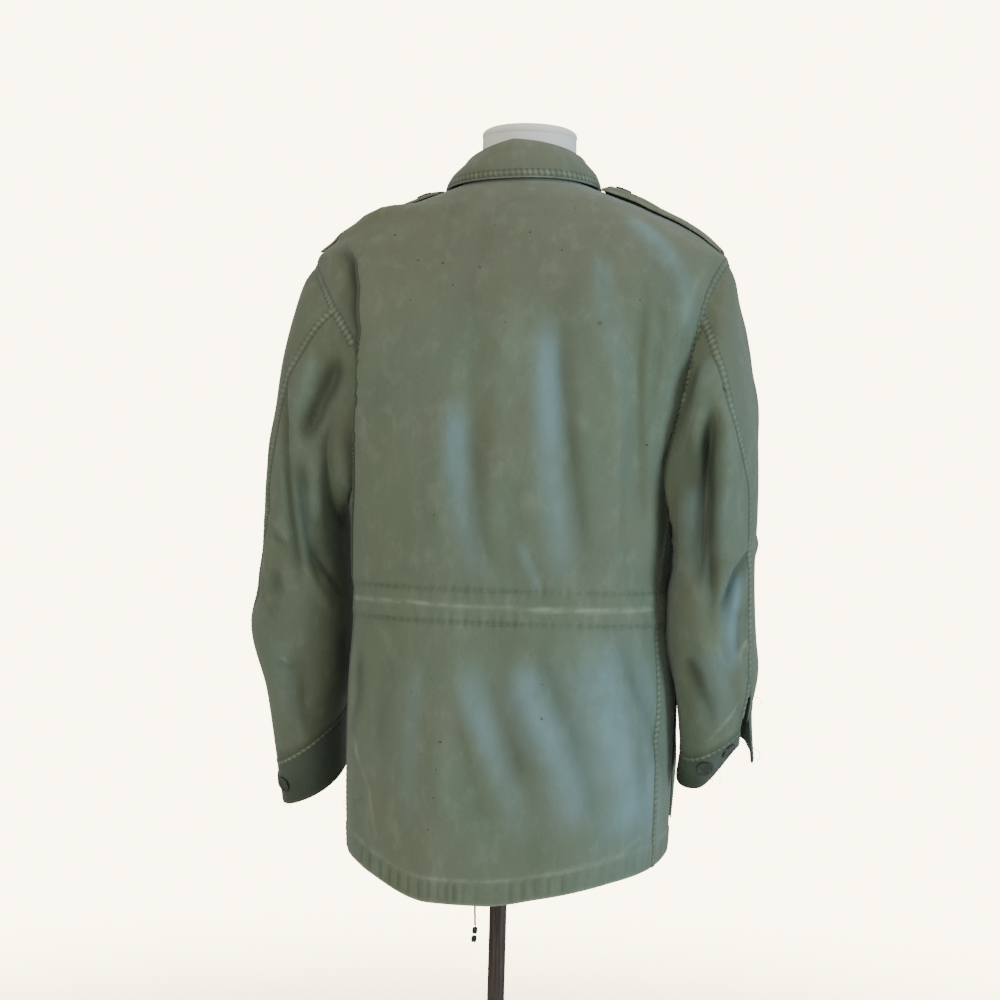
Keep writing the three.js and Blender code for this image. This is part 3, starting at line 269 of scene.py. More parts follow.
# The same for the sides that the photograph doesn't show: angle or turn in degrees, height or share
hiddenCreases = dict(
    body=[
        (4, 14, [(318, 1290), (306, 1220), (300, 1120)]),
        (-4, 12, [(326, 1240), (316, 1160), (308, 1060)]),
        (3, 16, [(232, 1280), (240, 1200), (246, 1100)]),
        (-3, 12, [(222, 1250), (230, 1170), (236, 1070)]),
        (4, 16, [(300, 910), (296, 800), (292, 690)]),
        (-4, 14, [(284, 915), (288, 820), (296, 700)]),
        (4, 16, [(244, 905), (250, 790), (246, 680)]),
        (-4, 14, [(256, 915), (258, 830), (252, 720)]),
        (-5, 12, [(352, 1050), (342, 1000), (330, 965)]),
        (-5, 12, [(190, 1050), (200, 1000), (212, 965)]),
        (3, 12, [(345, 905), (338, 800), (344, 700)]),
        (3, 12, [(196, 905), (202, 800), (196, 700)]),
    ],
    left=[
        (-6, 9, [(300, 0.45), (330, 0.56), (355, 0.6)]),
        (5, 10, [(285, 0.5), (320, 0.62), (350, 0.66)]),
        (-6, 9, [(270, 0.58), (310, 0.7), (345, 0.74)]),
        (5, 10, [(255, 0.3), (275, 0.2), (300, 0.12)]),
        (-5, 9, [(235, 0.36), (262, 0.26), (285, 0.18)]),
        (-4, 8, [(350, 0.82), (320, 0.86), (290, 0.84)]),
        (4, 12, [(350, 0.15), (355, 0.3), (348, 0.45)]),
    ],
    right=[
        (-6, 9, [(296, 0.42), (328, 0.53), (352, 0.58)]),
        (5, 10, [(282, 0.49), (318, 0.6), (348, 0.65)]),
        (-6, 9, [(268, 0.6), (305, 0.69), (340, 0.72)]),
        (5, 10, [(258, 0.28), (278, 0.2), (296, 0.12)]),
        (-5, 9, [(238, 0.34), (262, 0.26), (288, 0.17)]),
        (-4, 8, [(352, 0.8), (322, 0.85), (292, 0.83)]),
        (4, 12, [(352, 0.14), (350, 0.3), (355, 0.46)]),
        (12, 30, [(172, 0.0), (175, 0.25), (178, 0.5), (180, 0.85)]),
        (7, 18, [(160, 0.0), (168, 0.12), (172, 0.22), (175, 0.36)]),
    ],
)
# Painted bluish sheen, where the cool window light's reflection falls along the folds: strength, half width, pixels
sheenPlaces = dict(
    body=[
        (0.95, 15, [(545, 290), (548, 380), (552, 460), (560, 540), (566, 600)]),
        (0.8, 14, [(458, 380), (456, 440), (464, 520), (482, 596)]),
        (0.4, 8, [(516, 535), (530, 570), (540, 600)]),
        (1, 13, [(618, 212), (645, 232), (668, 262), (684, 300), (692, 340)]),
        (0.4, 12, [(600, 240), (610, 320), (624, 400)]),
        (0.8, 20, [(575, 640), (602, 700), (622, 765), (630, 845)]),
        (0.7, 16, [(512, 640), (530, 700), (555, 760), (580, 838)]),
        (0.6, 14, [(468, 640), (470, 695), (488, 745), (508, 800), (522, 860)]),
        (0.5, 16, [(640, 640), (648, 700), (652, 800), (650, 850)]),
        (0.55, 38, [(604, 610), (612, 680), (625, 760), (636, 850)]),
        (0.4, 50, [(520, 640), (545, 720), (570, 790), (585, 850)]),
        (0.4, 60, [(610, 790), (650, 840), (690, 870)]),
        (0.3, 14, [(418, 640), (412, 720), (410, 840)]),
    ],
    left=[
        (0.4, 14, [(300, 470), (306, 520), (316, 575)]),
        (0.35, 12, [(270, 620), (284, 680), (298, 740)]),
        (0.3, 10, [(318, 350), (305, 385), (290, 425)]),
    ],
    right=[
        (1.2, 11, [(742, 558), (734, 600), (732, 680)]),
        (0.5, 12, [(693, 470), (690, 530), (690, 590)]),
        (0.6, 10, [(712, 350), (706, 385), (697, 425)]),
        (0.5, 12, [(728, 420), (722, 500), (716, 570)]),
        (0.5, 14, [(705, 640), (715, 690), (722, 735)]),
    ],
)
# Thin worn lines along the creases: strength, half width, pixels
wornPlaces = dict(
    body=[
        (0.75, 2, [(352, 722), (357, 758), (368, 792), (378, 845)]),
        (0.6, 2, [(642, 834), (626, 849), (610, 861)]),
        (0.5, 2, [(448, 735), (440, 750), (436, 770)]),
        (0.4, 3, [(640, 245), (655, 255), (672, 280)]),
        (0.3, 5, [(708, 262), (690, 300), (684, 330)]),
    ],
    left=[
        (0.5, 2, [(308, 540), (325, 565), (345, 600)]),
        (0.4, 2, [(300, 560), (318, 590), (338, 618)]),
        (0.5, 2, [(267, 516), (279, 527), (291, 545)]),
        (0.5, 2, [(262, 586), (268, 602), (278, 618)]),
        (0.5, 2, [(278, 656), (288, 662), (296, 670)]),
        (0.3, 4, [(300, 450), (303, 490), (308, 530)]),
    ],
    right=[
        (0.8, 2, [(754, 547), (738, 553), (727, 562)]),
        (0.8, 2, [(747, 556), (737, 578), (730, 612), (733, 640)]),
        (0.8, 2, [(750, 636), (741, 652), (740, 668), (743, 684)]),
        (0.6, 2, [(744, 694), (726, 722), (704, 744)]),
        (0.4, 3, [(712, 350), (705, 390), (690, 440), (672, 462)]),
        (0.4, 2, [(716, 640), (722, 660), (735, 672)]),
    ],
)
# Painted shade in deep folds and in the gaps between the body and the sleeves: strength, half width, pixels
shadePlaces = dict(
    body=[
        (0.95, 12, [(663, 440), (663, 480), (663, 540), (665, 600), (670, 655)]),
        (0.9, 7, [(671, 470), (671, 540), (671, 620), (673, 680)]),
        (0.5, 10, [(350, 640), (348, 700), (350, 740)]),
        (0.25, 5, [(641, 300), (640, 380), (643, 450), (647, 540)]),
        (0.3, 3, [(352, 238), (354, 262), (357, 300)]),
    ],
    left=[
        (0.55, 9, [(343, 350), (330, 385), (316, 415), (302, 445)]),
        (0.55, 8, [(350, 400), (348, 440), (347, 500), (346, 590)]),
        (0.45, 14, [(340, 620), (337, 690), (337, 750)]),
        (0.35, 7, [(300, 450), (303, 500), (312, 545), (322, 590)]),
        (0.3, 5, [(308, 542), (322, 565), (340, 600)]),
    ],
    right=[
        (0.6, 8, [(714, 392), (710, 440), (704, 500), (700, 560), (699, 597)]),
        (0.5, 8, [(688, 650), (694, 675), (704, 705)]),
        (0.3, 24, [(702, 400), (701, 460), (702, 520), (700, 600)]),
        (0.5, 5, [(745, 705), (746, 735)]),
        (0.4, 4, [(752, 556), (748, 600), (746, 640)]),
        (0.5, 6, [(704, 352), (692, 388), (680, 425), (669, 460)]),
    ],
)
creases = {side + use: [] for side in ("body", "left", "right") for use in ("", "Cool", "Worn", "Dark")}


def section(z):
    return {name: columnOf(bodySections, "z", name, z) for name in bodyColumns[1:]}


def bodyBase(angle, z):
    s = section(z)
    c, d = np.cos(angle), np.sin(angle)
    depth = np.where(d > 0, s["back"], s["front"])
    r = (np.abs(c / s["halfWidth"]) ** s["square"] + np.abs(d / depth) ** s["square"]) ** (-1 / s["square"])
    return np.stack([s["x"] + r * c, s["centreY"] + r * d, z + 0 * r], -1)


def bodyNormal(angle, z):
    around = bodyBase(angle + 0.01, z) - bodyBase(angle - 0.01, z)
    up = bodyBase(angle, z + 1) - bodyBase(angle, z - 1)
    return unit(np.cross(around, up))


def angleAtY(z, y, side):
    s = section(z)
    dy = y - s["centreY"]
    depth = np.where(dy > 0, s["back"], s["front"])
    ratio = np.minimum(np.abs(dy) / depth, 1)
    x = s["halfWidth"] * (1 - ratio ** s["square"]) ** (1 / s["square"])
    return np.arctan2(dy, x) if side > 0 else np.pi - np.arctan2(dy, x)


def foldDepth(along, across, depth, width):
    ends = smooth(-0.12, 0.16, along) * (1 - smooth(0.84, 1.12, along))
    return depth * ends * bump(across, width)


def wrap(degrees):  # the short way round, in degrees
    return (degrees + 180) % 360 - 180


def pleatAngle(z):  # where the open pleat's edge runs, in degrees
    return np.interp(z, pleat["heights"], pleat["angles"])


def pleatFade(z):
    return smooth(*pleat["low"], z) * (1 - smooth(*pleat["top"], z))


def pleatShape(angle, z):  # out, and along the surface, of the pleat's fold
    away = wrap(np.degrees(angle) - pleatAngle(z))
    s = np.radians(away) * section(z)["halfWidth"] * 0.97
    fade = pleatFade(z)
    ridge = pleat["proud"] * np.where(s > 0, bump(s, pleat["softness"]), 1)
    under = -pleat["under"] * np.where(s < 0, bump(s + 3, pleat["reach"]), 0)
    step = smooth(-3.2, -0.2, s)
    out = ridge * step + under * (1 - step)
    tuck = pleat["tuck"] * np.where(s <= 0, bump(s + 2.2, 2.6), 0)
    return out * fade, tuck * fade


def foldsAt(angle, z):
    degrees = np.degrees(angle)
    radius = section(z)["halfWidth"] * 0.85
    total = 0
    for fold in bodyFolds:
        along = (fold["z0"] - z) / (fold["z0"] - fold["z1"])
        middle = lerp(fold["a0"], fold["a1"], along) + fold["bow"] * np.sin(np.pi * np.clip(along, 0, 1))
        across = np.radians(wrap(degrees - middle)) * radius
        total = total + foldDepth(along, across, fold["depth"], fold["width"])
    return total


def hemHeight(angle):
    turned = (np.degrees(angle) + 90) % 360 - 90
    return columnOf(hemRows, "angle", "z", turned)


def reliefAt(angle, z):
    fromWaist = np.abs(z - waistZ)
    half = (channel["high"] - channel["low"]) / 2
    stand = channel["stand"] * (1 - smooth(half - 2, half + 2, fromWaist))
    fromPlacket = np.arccos(np.clip(-np.sin(angle), -1, 1))
    bare = smooth(np.radians(gather["bareFront"]), np.radians(gather["bareFront"] + 12), fromPlacket)
    phase = gather["count"] * angle + 1.6 * wander(angle, 5, 0.12)
    size = gather["depth"] * np.clip(0.5 + 0.9 * wander(angle, 9, 0.9), 0.1, 1)
    beat = np.cos(phase + 2.4 * wander(angle * 3, 17, 0.5)) + 0.5 * np.cos(1.7 * phase + 1.9 * np.sign(z - waistZ))
    gathers = beat * size * bare * (1 - smooth(half - 5, gather["reach"], fromWaist))
    gathers = gathers * (0.25 + 0.75 * smooth(half - 14, half - 2, fromWaist))
    aboveHem = z - hemHeight(angle)
    band = hemBand["stand"] * (1 - smooth(hemBand["height"] - 2, hemBand["height"] + 2, aboveHem))
    ripples = 0.5 * np.sin(76 * angle + 5 * wander(angle * 2, 3, 0.4)) + 0.35 * np.sin(131 * angle + 3)
    ripples = ripples * (0.6 + 0.5 * wander(angle * 4, 12, 0.3))
    inBand = smooth(0, 6, aboveHem) * (1 - smooth(hemBand["height"] - 6, hemBand["height"] + 3, aboveHem))
    return stand + gathers + band + ripples * inBand


def creaseDepth(points, kind):  # how far the creases near each point move it out
    flat = points.reshape(-1, 3)
    total = np.zeros(len(flat))
    for crease in creases[kind]:
        line, width = crease["line"], crease["width"]
        reach = 3 * width
        near = np.all((flat > line.min(0) - reach) & (flat < line.max(0) + reach), 1)
        if not near.any():
            continue
        a, along = line[:-1], np.diff(line, axis=0)
        away = flat[near][:, None] - a
        share = np.clip((away * along).sum(-1) / (along * along).sum(-1), 0, 1)
        gaps = np.linalg.norm(away - along * share[..., None], axis=-1)
        k = gaps.argmin(1)
        each = np.arange(len(k))
        run = (k + share[each, k]) / len(a)
        ends = smooth(0, 0.3, run) * (1 - smooth(0.72, 1, run))
        uneven = 0.85 + 0.25 * wander(run * 9, crease["seed"])
        gap = gaps[each, k]
        sharp = np.exp(-(np.sqrt(gap * gap + 2) - 1.4) * 1.5 / width)
        profile = bump(gap, width) if crease["depth"] > 0 else 0.45 * bump(gap, width) + 0.55 * sharp
        total[near] += crease["depth"] * ends * uneven * profile
    return total.reshape(points.shape[:-1])


def bodyPoint(angle, z, out=0.0):
    lift, tuck = pleatShape(angle, z)
    base = bodyBase(angle, z)
    away = foldsAt(angle, z) + reliefAt(angle, z) + creaseDepth(base, "body") + lift + out
    around = unit(bodyBase(angle + 0.01, z) - bodyBase(angle - 0.01, z))
    return base + bodyNormal(angle, z) * away[..., None] + around * tuck[..., None]


def neckHeight(angle):
    low = np.full(np.shape(angle), float(shoulderTipZ))
    high = np.full(np.shape(angle), 1424.0)
    for _ in range(26):
        z = (low + high) / 2
        p = bodyBase(angle, z)
        size = ((p[..., 0] - neck["x"]) / neck["halfWidth"]) ** 2
        size = size + ((p[..., 1] - neck["centreY"]) / neck["halfDepth"]) ** 2
        low, high = np.where(size > 1, z, low), np.where(size > 1, high, z)
    return (low + high) / 2


def yokeHeight(x, y):
    low = np.full(np.shape(x), float(shoulderTipZ))
    high = np.full(np.shape(x), 1424.0)
    for _ in range(26):
        z = (low + high) / 2
        s = section(z)
        dy = y - s["centreY"]
        depth = np.where(dy > 0, s["back"], s["front"])
        size = np.abs((x - s["x"]) / s["halfWidth"]) ** s["square"] + np.abs(dy / depth) ** s["square"]
        low, high = np.where(size > 1, low, z), np.where(size > 1, z, high)
    return (low + high) / 2


def armholeHeight(turn):
    return (shoulderTipZ + armpitZ) / 2 + (shoulderTipZ - armpitZ) / 2 * np.cos(turn)


def armholeAngle(turn, side):
    turn = np.asarray(turn, float)
    z = armholeHeight(turn)
    share = (z - armpitZ) / (shoulderTipZ - armpitZ)
    centre = lerp(armhole["centreBottomY"], armhole["centreTopY"], share)
    backReach = columnOf(armholeReach, "z", "backLeft" if side > 0 else "backRight", z)
    reach = np.where(np.sin(turn) > 0, backReach, columnOf(armholeReach, "z", "front", z))
    return angleAtY(z, centre + reach * np.sin(turn), side)


def armholePoint(turn, side):
    return bodyPoint(armholeAngle(turn, side), armholeHeight(turn))


# Meshes

def gridNormals(grid):
    return unit(np.cross(np.gradient(grid, axis=1), np.gradient(grid, axis=0)))


def newPiece(name, points, faces, finish, sharpAt=40, values=None, uv=None):
    points = np.asarray(points, float).reshape(-1, 3)
    faces = [tuple(int(i) for i in f) for f in faces]
    mesh = bpy.data.meshes.new(name)
    mesh.from_pydata(points * mm, [], faces)
    corners = np.array([(f[0], f[1], f[2]) for f in faces])
    a, b, c = (points[corners[:, k]] for k in range(3))
    if np.einsum("ij,ij->", a - points.mean(0), np.cross(b - points.mean(0), c - points.mean(0))) < 0:
        mesh.flip_normals()
    for label, numbers in (values or {}).items():
        layer = mesh.attributes.new(label, "FLOAT", "POINT")
        layer.data.foreach_set("value", np.asarray(numbers, np.float32).ravel())
    if uv is not None:
        layer = mesh.uv_layers.new(name="cloth")
        index = np.empty(len(mesh.loops), np.int32)
        mesh.loops.foreach_get("vertex_index", index)
        layer.data.foreach_set("uv", (np.asarray(uv).reshape(-1, 2)[index] * mm).astype(np.float32).ravel())
    mesh.materials.append(finish)
    piece = bpy.data.objects.new(name, mesh)
    bpy.context.scene.collection.objects.link(piece)
    bpy.ops.object.select_all(action="DESELECT")
    piece.select_set(True)
    bpy.context.view_layer.objects.active = piece
    bpy.ops.object.shade_smooth_by_angle(angle=math.radians(sharpAt))
    piece.select_set(False)
    return piece


def gridFaces(rows, cols, start=0, flip=False):
    i, j = np.meshgrid(np.arange(rows - 1), np.arange(cols - 1), indexing="ij")
    a = (start + i * cols + j).ravel()
    quads = np.stack([a, a + 1, a + cols + 1, a + cols], 1)
    return quads[:, ::-1] if flip else quads


def wallPiece(name, outer, thickness, finish, values=None, uv=None, inner=None, flip=1.0, shift=True):
    rows, cols = outer.shape[:2]
    if inner is None:
        inner = outer - gridNormals(outer) * thickness * flip
    count = rows * cols
    faces = [gridFaces(rows, cols), gridFaces(rows, cols, count, True)]
    rim = [k for k in range(cols)] + [i * cols + cols - 1 for i in range(1, rows)]
    rim += [(rows - 1) * cols + k for k in range(cols - 2, -1, -1)] + [i * cols for i in range(rows - 2, 0, -1)]
    rim = np.array(rim)
    ahead = np.roll(rim, -1)
    faces.append(np.stack([ahead, rim, rim + count, ahead + count], 1))
    points = np.concatenate([outer.reshape(-1, 3), inner.reshape(-1, 3)])
    if shift:
        points = points + np.array([0, bodyY, 0])
    twice = {k: np.concatenate([np.ravel(v), np.ravel(v)]) for k, v in (values or {}).items()}
    if uv is None:
        uv = gridUv(outer)
    uv = np.concatenate([uv.reshape(-1, 2), uv.reshape(-1, 2)])
    return newPiece(name, points, np.concatenate(faces), finish, 50, twice, uv)


def gridUv(grid):  # lengths along the grid's rows and up its middle column
    rows, cols = grid.shape[:2]
    across = np.linalg.norm(np.diff(grid, axis=1), axis=-1)
    u = np.concatenate([np.zeros((rows, 1)), np.cumsum(across, 1)], 1)
    u -= u[:, cols // 2 : cols // 2 + 1]
    up = np.linalg.norm(np.diff(grid, axis=0), axis=-1)
    v = np.concatenate([np.zeros((1, cols)), np.cumsum(up, 0)], 0)
    v = 0.3 * v + 0.7 * v[:, cols // 2 : cols // 2 + 1]
    return np.stack([u, v], -1)


def ringPiece(name, rings, finish, values=None, sharpAt=40, shift=True):  # a closed solid through rings
    rings = np.asarray(rings, float)
    rows, cols = rings.shape[:2]
    points = np.concatenate([rings.reshape(-1, 3), rings[:1].mean(1), rings[-1:].mean(1)])
    faces = []
    for i in range(rows - 1):
        for j in range(cols):
            k = (j + 1) % cols
            faces.append((i * cols + j, i * cols + k, (i + 1) * cols + k, (i + 1) * cols + j))
    first, last = rows * cols, rows * cols + 1
    for j in range(cols):
        k = (j + 1) % cols
        faces.append((k, j, first))
        faces.append(((rows - 1) * cols + j, (rows - 1) * cols + k, last))
    if shift:
        points = points + np.array([0, bodyY, 0])
    more = {k: np.concatenate([np.ravel(v), [0, 0]]) for k, v in (values or {}).items()}
    return newPiece(name, points, faces, finish, sharpAt, more)


def treeOf(grids):  # the outer faces of several grids, to lay trim on
    points, faces, start = [], [], 0
    for grid in grids:
        rows, cols = grid.shape[:2]
        points.append(grid.reshape(-1, 3))
        faces.append(gridFaces(rows, cols, start))
        start += rows * cols
    points = np.concatenate(points)
    normals = np.concatenate([gridNormals(g).reshape(-1, 3) for g in grids])
    faces = np.concatenate(faces)
    tree = BVHTree.FromPolygons([Vector(p) for p in points], [tuple(int(i) for i in f) for f in faces])
    return dict(tree=tree, points=points, normals=normals, faces=faces)


def through(points, count):  # a smooth line through given points, evenly spaced
    points = np.asarray(points, float)
    lengths = np.concatenate([[0], np.cumsum(np.linalg.norm(np.diff(points, axis=0), axis=1))])
    tangents = np.gradient(points, lengths, axis=0)
    at = np.linspace(0, lengths[-1], count)
    i = np.clip(np.searchsorted(lengths, at, side="right") - 1, 0, len(points) - 2)
    h = (lengths[i + 1] - lengths[i])[:, None]
    s = (at - lengths[i])[:, None] / h
    return (
        points[i] * (1 + 2 * s) * (1 - s) ** 2
        + points[i + 1] * s * s * (3 - 2 * s)
        + tangents[i] * h * s * (1 - s) ** 2
        - tangents[i + 1] * h * s * s * (1 - s)
    )


def seenOn(bed, pixels):  # where pixels of the photograph fall on a surface
    spots = []
    for px, py in pixels:
        start, way = sight(px, py)
        spot = bed["tree"].ray_cast(start, way)[0]
        spots.append(spot or bed["tree"].find_nearest(start + way * (view["distance"] / mm - 20))[0])
    return np.array(spots)


def layCreases(kind, bed, pointAt):
    for depth, width, pixels in creasePlaces[kind]:
        spots = seenOn(bed, pixels)
        creases[kind].append(dict(depth=depth, width=width, line=through(spots, 14)))
    for depth, width, places in hiddenCreases[kind]:
        spots = np.array([pointAt(*place) for place in places])
        creases[kind].append(dict(depth=depth, width=width, line=through(spots, 14)))
    for use, places in (("Cool", sheenPlaces), ("Worn", wornPlaces), ("Dark", shadePlaces)):
        for strength, width, pixels in places[kind]:
            line = through(seenOn(bed, pixels), 14)
            creases[kind + use].append(dict(depth=strength, width=width, line=line, seed=5))
    for seed, crease in enumerate(creases[kind]):
        crease["seed"] = seed + 11


# Finishes

class Value:  # a shader socket that takes part in sums
    def __init__(self, finish, socket):
        self.finish, self.socket = finish, socket

    def __add__(self, other):
        return self.finish.maths("ADD", self, other)

    def __sub__(self, other):
        return self.finish.maths("SUBTRACT", self, other)

    def __rsub__(self, other):
        return self.finish.maths("SUBTRACT", other, self)

    def __mul__(self, other):
        return self.finish.maths("MULTIPLY", self, other)

    def __pow__(self, other):
        return self.finish.maths("POWER", self, other)

    __radd__ = __add__
    __rmul__ = __mul__


class Finish:  # a material, built node by node
    def __init__(self, name):
        self.material = bpy.data.materials.new(name)
        self.material.use_nodes = True
        self.tree = self.material.node_tree
        self.tree.nodes.clear()

    def node(self, kind, settings=None, inputs=None, output=0):
        made = self.tree.nodes.new(kind)
        for key, value in (settings or {}).items():
            if key == "stops":
                ramp = made.color_ramp
                while len(ramp.elements) < len(value):
                    ramp.elements.new(0.5)
                for element, (place, colour) in zip(ramp.elements, value):
                    element.position = place
                    element.color = (*colour, 1) if len(colour) == 3 else colour
            else:
                setattr(made, key, value)
        for key, value in (inputs or {}).items():
            socket = made.inputs[key]
            if isinstance(value, Value):
                self.tree.links.new(value.socket, socket)
            else:
                socket.default_value = value
        return Value(self, made.outputs[output]) if len(made.outputs) else None

    def maths(self, operation, a, b):
        return self.node("ShaderNodeMath", {"operation": operation}, {0: a, 1: b})

    def mix(self, share, a, b, blend="MIX"):
        settings = {"data_type": "RGBA", "blend_type": blend}
        return self.node("ShaderNodeMix", settings, {0: share, 6: a, 7: b}, 2)

    def step(self, value, low, high):  # 0 below low, 1 above high
        inputs = {"Value": value, "From Min": low, "From Max": high}
        return self.node("ShaderNodeMapRange", {"interpolation_type": "SMOOTHSTEP"}, inputs)

    def noise(self, where, scale, detail=3.0, roughness=0.5):
        inputs = {"Vector": where, "Scale": scale, "Detail": detail, "Roughness": roughness}
        return self.node("ShaderNodeTexNoise", None, inputs)

    def scaled(self, where, size, turn=0.0):
        inputs = {"Vector": where, "Scale": size, "Rotation": (0, 0, turn)}
        return self.node("ShaderNodeMapping", None, inputs)

    def attribute(self, name):
        return self.node("ShaderNodeAttribute", {"attribute_name": name}, None, 2)

    def close(self, sockets, height=None, strength=0.3, distance=0.001):
        if height is not None:
            inputs = {"Height": height, "Strength": strength, "Distance": distance}
            sockets["Normal"] = self.node("ShaderNodeBump", None, inputs)
        shader = self.node("ShaderNodeBsdfPrincipled", None, sockets)
        self.node("ShaderNodeOutputMaterial", None, {"Surface": shader})
        return self.material


clothLook = dict(
    olive=(0.130, 0.168, 0.108, 1),
    brown=(0.142, 0.158, 0.098, 1),
    # the colour of the painted warm light on the shoulders
    shoulder=(0.140, 0.142, 0.086, 1),
    # a bluish tint, also used for the painted bluish sheen
    cool=(0.175, 0.285, 0.300, 1),
    worn=(0.310, 0.370, 0.285, 1),
    # the dark colour, used for real dirt and also as painted shade
    dirt=(0.030, 0.040, 0.024, 1),
    roughness=0.78,
)


def makeCloth(name="cloth"):
    f = Finish(name)
    uv = f.node("ShaderNodeUVMap", {"uv_map": "cloth"})
    place = f.node("ShaderNodeTexCoord", None, None, 3)
    clouds = f.noise(place, 7.0, 4.0, 0.55)
    fine = f.noise(f.scaled(place, (1, 1, 0.6)), 60.0, 3.0, 0.6)
    slubs = f.noise(f.scaled(uv, (180, 2200, 1)), 1.0, 2.0, 0.6)
    warp = f.noise(f.scaled(uv, (2200, 160, 1)), 1.0, 2.0, 0.6)
    height = f.node("ShaderNodeSeparateXYZ", None, {"Vector": place}, 2)
    # painted warm light from above: the cloth turns browner towards the shoulders
    warmTopLight = f.step(height + clouds * 0.16, 1.24, 1.42)
    colour = f.mix(f.step(clouds, 0.35, 0.7), clothLook["olive"], clothLook["brown"])
    colour = f.mix(warmTopLight * 0.8, colour, clothLook["shoulder"])
    # painted bluish sheen along the folds, from the cool attribute, besides a faint bluish tint everywhere
    colour = f.mix(f.attribute("cool") * f.step(clouds + fine * 0.2, 0.2, 0.7), colour, clothLook["cool"])
    colour = f.mix(f.step(fine, 0.48, 0.75) * 0.15, colour, clothLook["worn"])
    blotch = f.noise(f.scaled(place, (1, 1, 0.45)), 22.0, 4.0, 0.6)
    colour = f.mix(f.step(blotch, 0.5, 0.8) * 0.12, colour, clothLook["worn"])
    colour = f.mix(f.step(blotch, 0.5, 0.22) * 0.16, colour, clothLook["dirt"])
    colour = f.mix(f.step(slubs, 0.45, 0.9) * 0.22, colour, clothLook["worn"])
    colour = f.mix(f.step(warp, 0.5, 0.95) * 0.12, colour, clothLook["dirt"])
    # real wear, and painted highlights on the fold ridges and on the seam strips' ladder ridges
    colour = f.mix(f.attribute("wear") * f.step(fine * 0.6 + slubs * 0.4, 0.3, 0.6), colour, clothLook["worn"])
    specks = f.step(f.noise(place, 85.0, 1.0), 0.765, 0.8) * f.step(f.noise(place, 4.0, 1.0), 0.45, 0.6)
    colour = f.mix(specks * 0.55, colour, clothLook["dirt"])
    # real dirt, and painted shade in the troughs, inside the pleat and in the gaps between parts
    colour = f.mix(f.attribute("dirt"), colour, clothLook["dirt"])
    weave = slubs * 0.5 + warp * 0.5 + fine * 0.35
    rumple = f.noise(place, 26.0, 3.0, 0.5)
    sockets = {
        "Base Color": colour,
        "Roughness": clothLook["roughness"],
        "Specular IOR Level": 0.32,
        "Sheen Weight": 0.28,
        "Sheen Roughness": 0.42,
        "Sheen Tint": (0.72, 0.86, 0.9, 1),
    }
    return f.close(sockets, weave * 0.6 + rumple * 1.7, 0.6, 0.0012)


def makeThread():
    f = Finish("thread")
    place = f.node("ShaderNodeTexCoord", None, None, 3)
    grain = f.noise(place, 900.0, 2.0)
    colour = f.mix(grain, (0.09, 0.115, 0.07, 1), (0.22, 0.26, 0.18, 1))
    return f.close({"Base Color": colour, "Roughness": 0.7, "Sheen Weight": 0.2}, grain, 0.3, 0.0004)


def makeButton():
    f = Finish("button")
    place = f.node("ShaderNodeTexCoord", None, None, 3)
    grain = f.noise(place, 260.0, 3.0)
    colour = f.mix(f.step(grain, 0.4, 0.75), (0.022, 0.032, 0.026, 1), (0.05, 0.065, 0.052, 1))
    return f.close({"Base Color": colour, "Roughness": f.step(grain, 0.2, 0.9) * 0.25 + 0.32}, grain, 0.12, 0.0005)


def makeCordFinish():
    f = Finish("cord")
    place = f.node("ShaderNodeTexCoord", None, None, 3)
    grain = f.noise(place, 1200.0, 2.0)
    colour = f.mix(grain, (0.02, 0.02, 0.016, 1), (0.06, 0.058, 0.045, 1))
    return f.close({"Base Color": colour, "Roughness": 0.85, "Sheen Weight": 0.2}, grain, 0.5, 0.0004)


def makeFormCloth():
    f = Finish("formCloth")
    place = f.node("ShaderNodeTexCoord", None, None, 3)
    knit = f.noise(f.scaled(place, (1, 1, 0.5)), 700.0, 2.0)
    clouds = f.noise(place, 9.0, 3.0)
    colour = f.mix(f.step(clouds, 0.3, 0.8), (0.96, 0.94, 0.89, 1), (0.90, 0.87, 0.80, 1))
    return f.close({"Base Color": colour, "Roughness": 0.9, "Sheen Weight": 0.25}, knit, 0.35, 0.0005)


def makeWood():
    f = Finish("wood")
    place = f.node("ShaderNodeTexCoord", None, None, 3)
    grain = f.noise(f.scaled(place, (1, 1, 0.04)), 320.0, 4.0, 0.6)
    clouds = f.noise(f.scaled(place, (1, 1, 0.1)), 40.0, 3.0)
    colour = f.mix(f.step(grain, 0.35, 0.7), (0.020, 0.013, 0.010, 1), (0.075, 0.050, 0.038, 1))
    colour = f.mix(f.step(clouds, 0.45, 0.75) * 0.5, colour, (0.10, 0.07, 0.055, 1))
    return f.close({"Base Color": colour, "Roughness": f.step(grain, 0.2, 0.9) * 0.3 + 0.38}, grain, 0.35, 0.0008)


clothFinish = makeCloth()
threadFinish = makeThread()
buttonFinish = makeButton()
cordFinish = makeCordFinish()
formFinish = makeFormCloth()
woodFinish = makeWood()
print("finishes made")


# The body's three panels

panelRows = dict(skirt=132, armhole=74, yoke=28)
outerGrids = {}
smoothBody = treeOf([
    bodyBase(*np.meshgrid(np.linspace(0, 2 * np.pi, 181), np.linspace(628, 1420, 160)))
])


def camel(node, ending):
    first, *rest = node.split("_")
    return first + "".join(word.capitalize() for word in rest) + ending


def findPleat():
    spots = seenOn(smoothBody, pleatLine)[::-1]
    s = section(spots[:, 2])
    pleat["heights"] = spots[:, 2]
    pleat["angles"] = np.degrees(np.arctan2(spots[:, 1] - s["centreY"], spots[:, 0] - s["x"]))


findPleat()
layCreases("body", smoothBody, lambda degrees, z: bodyBase(np.array(math.radians(degrees)), np.array(float(z))))


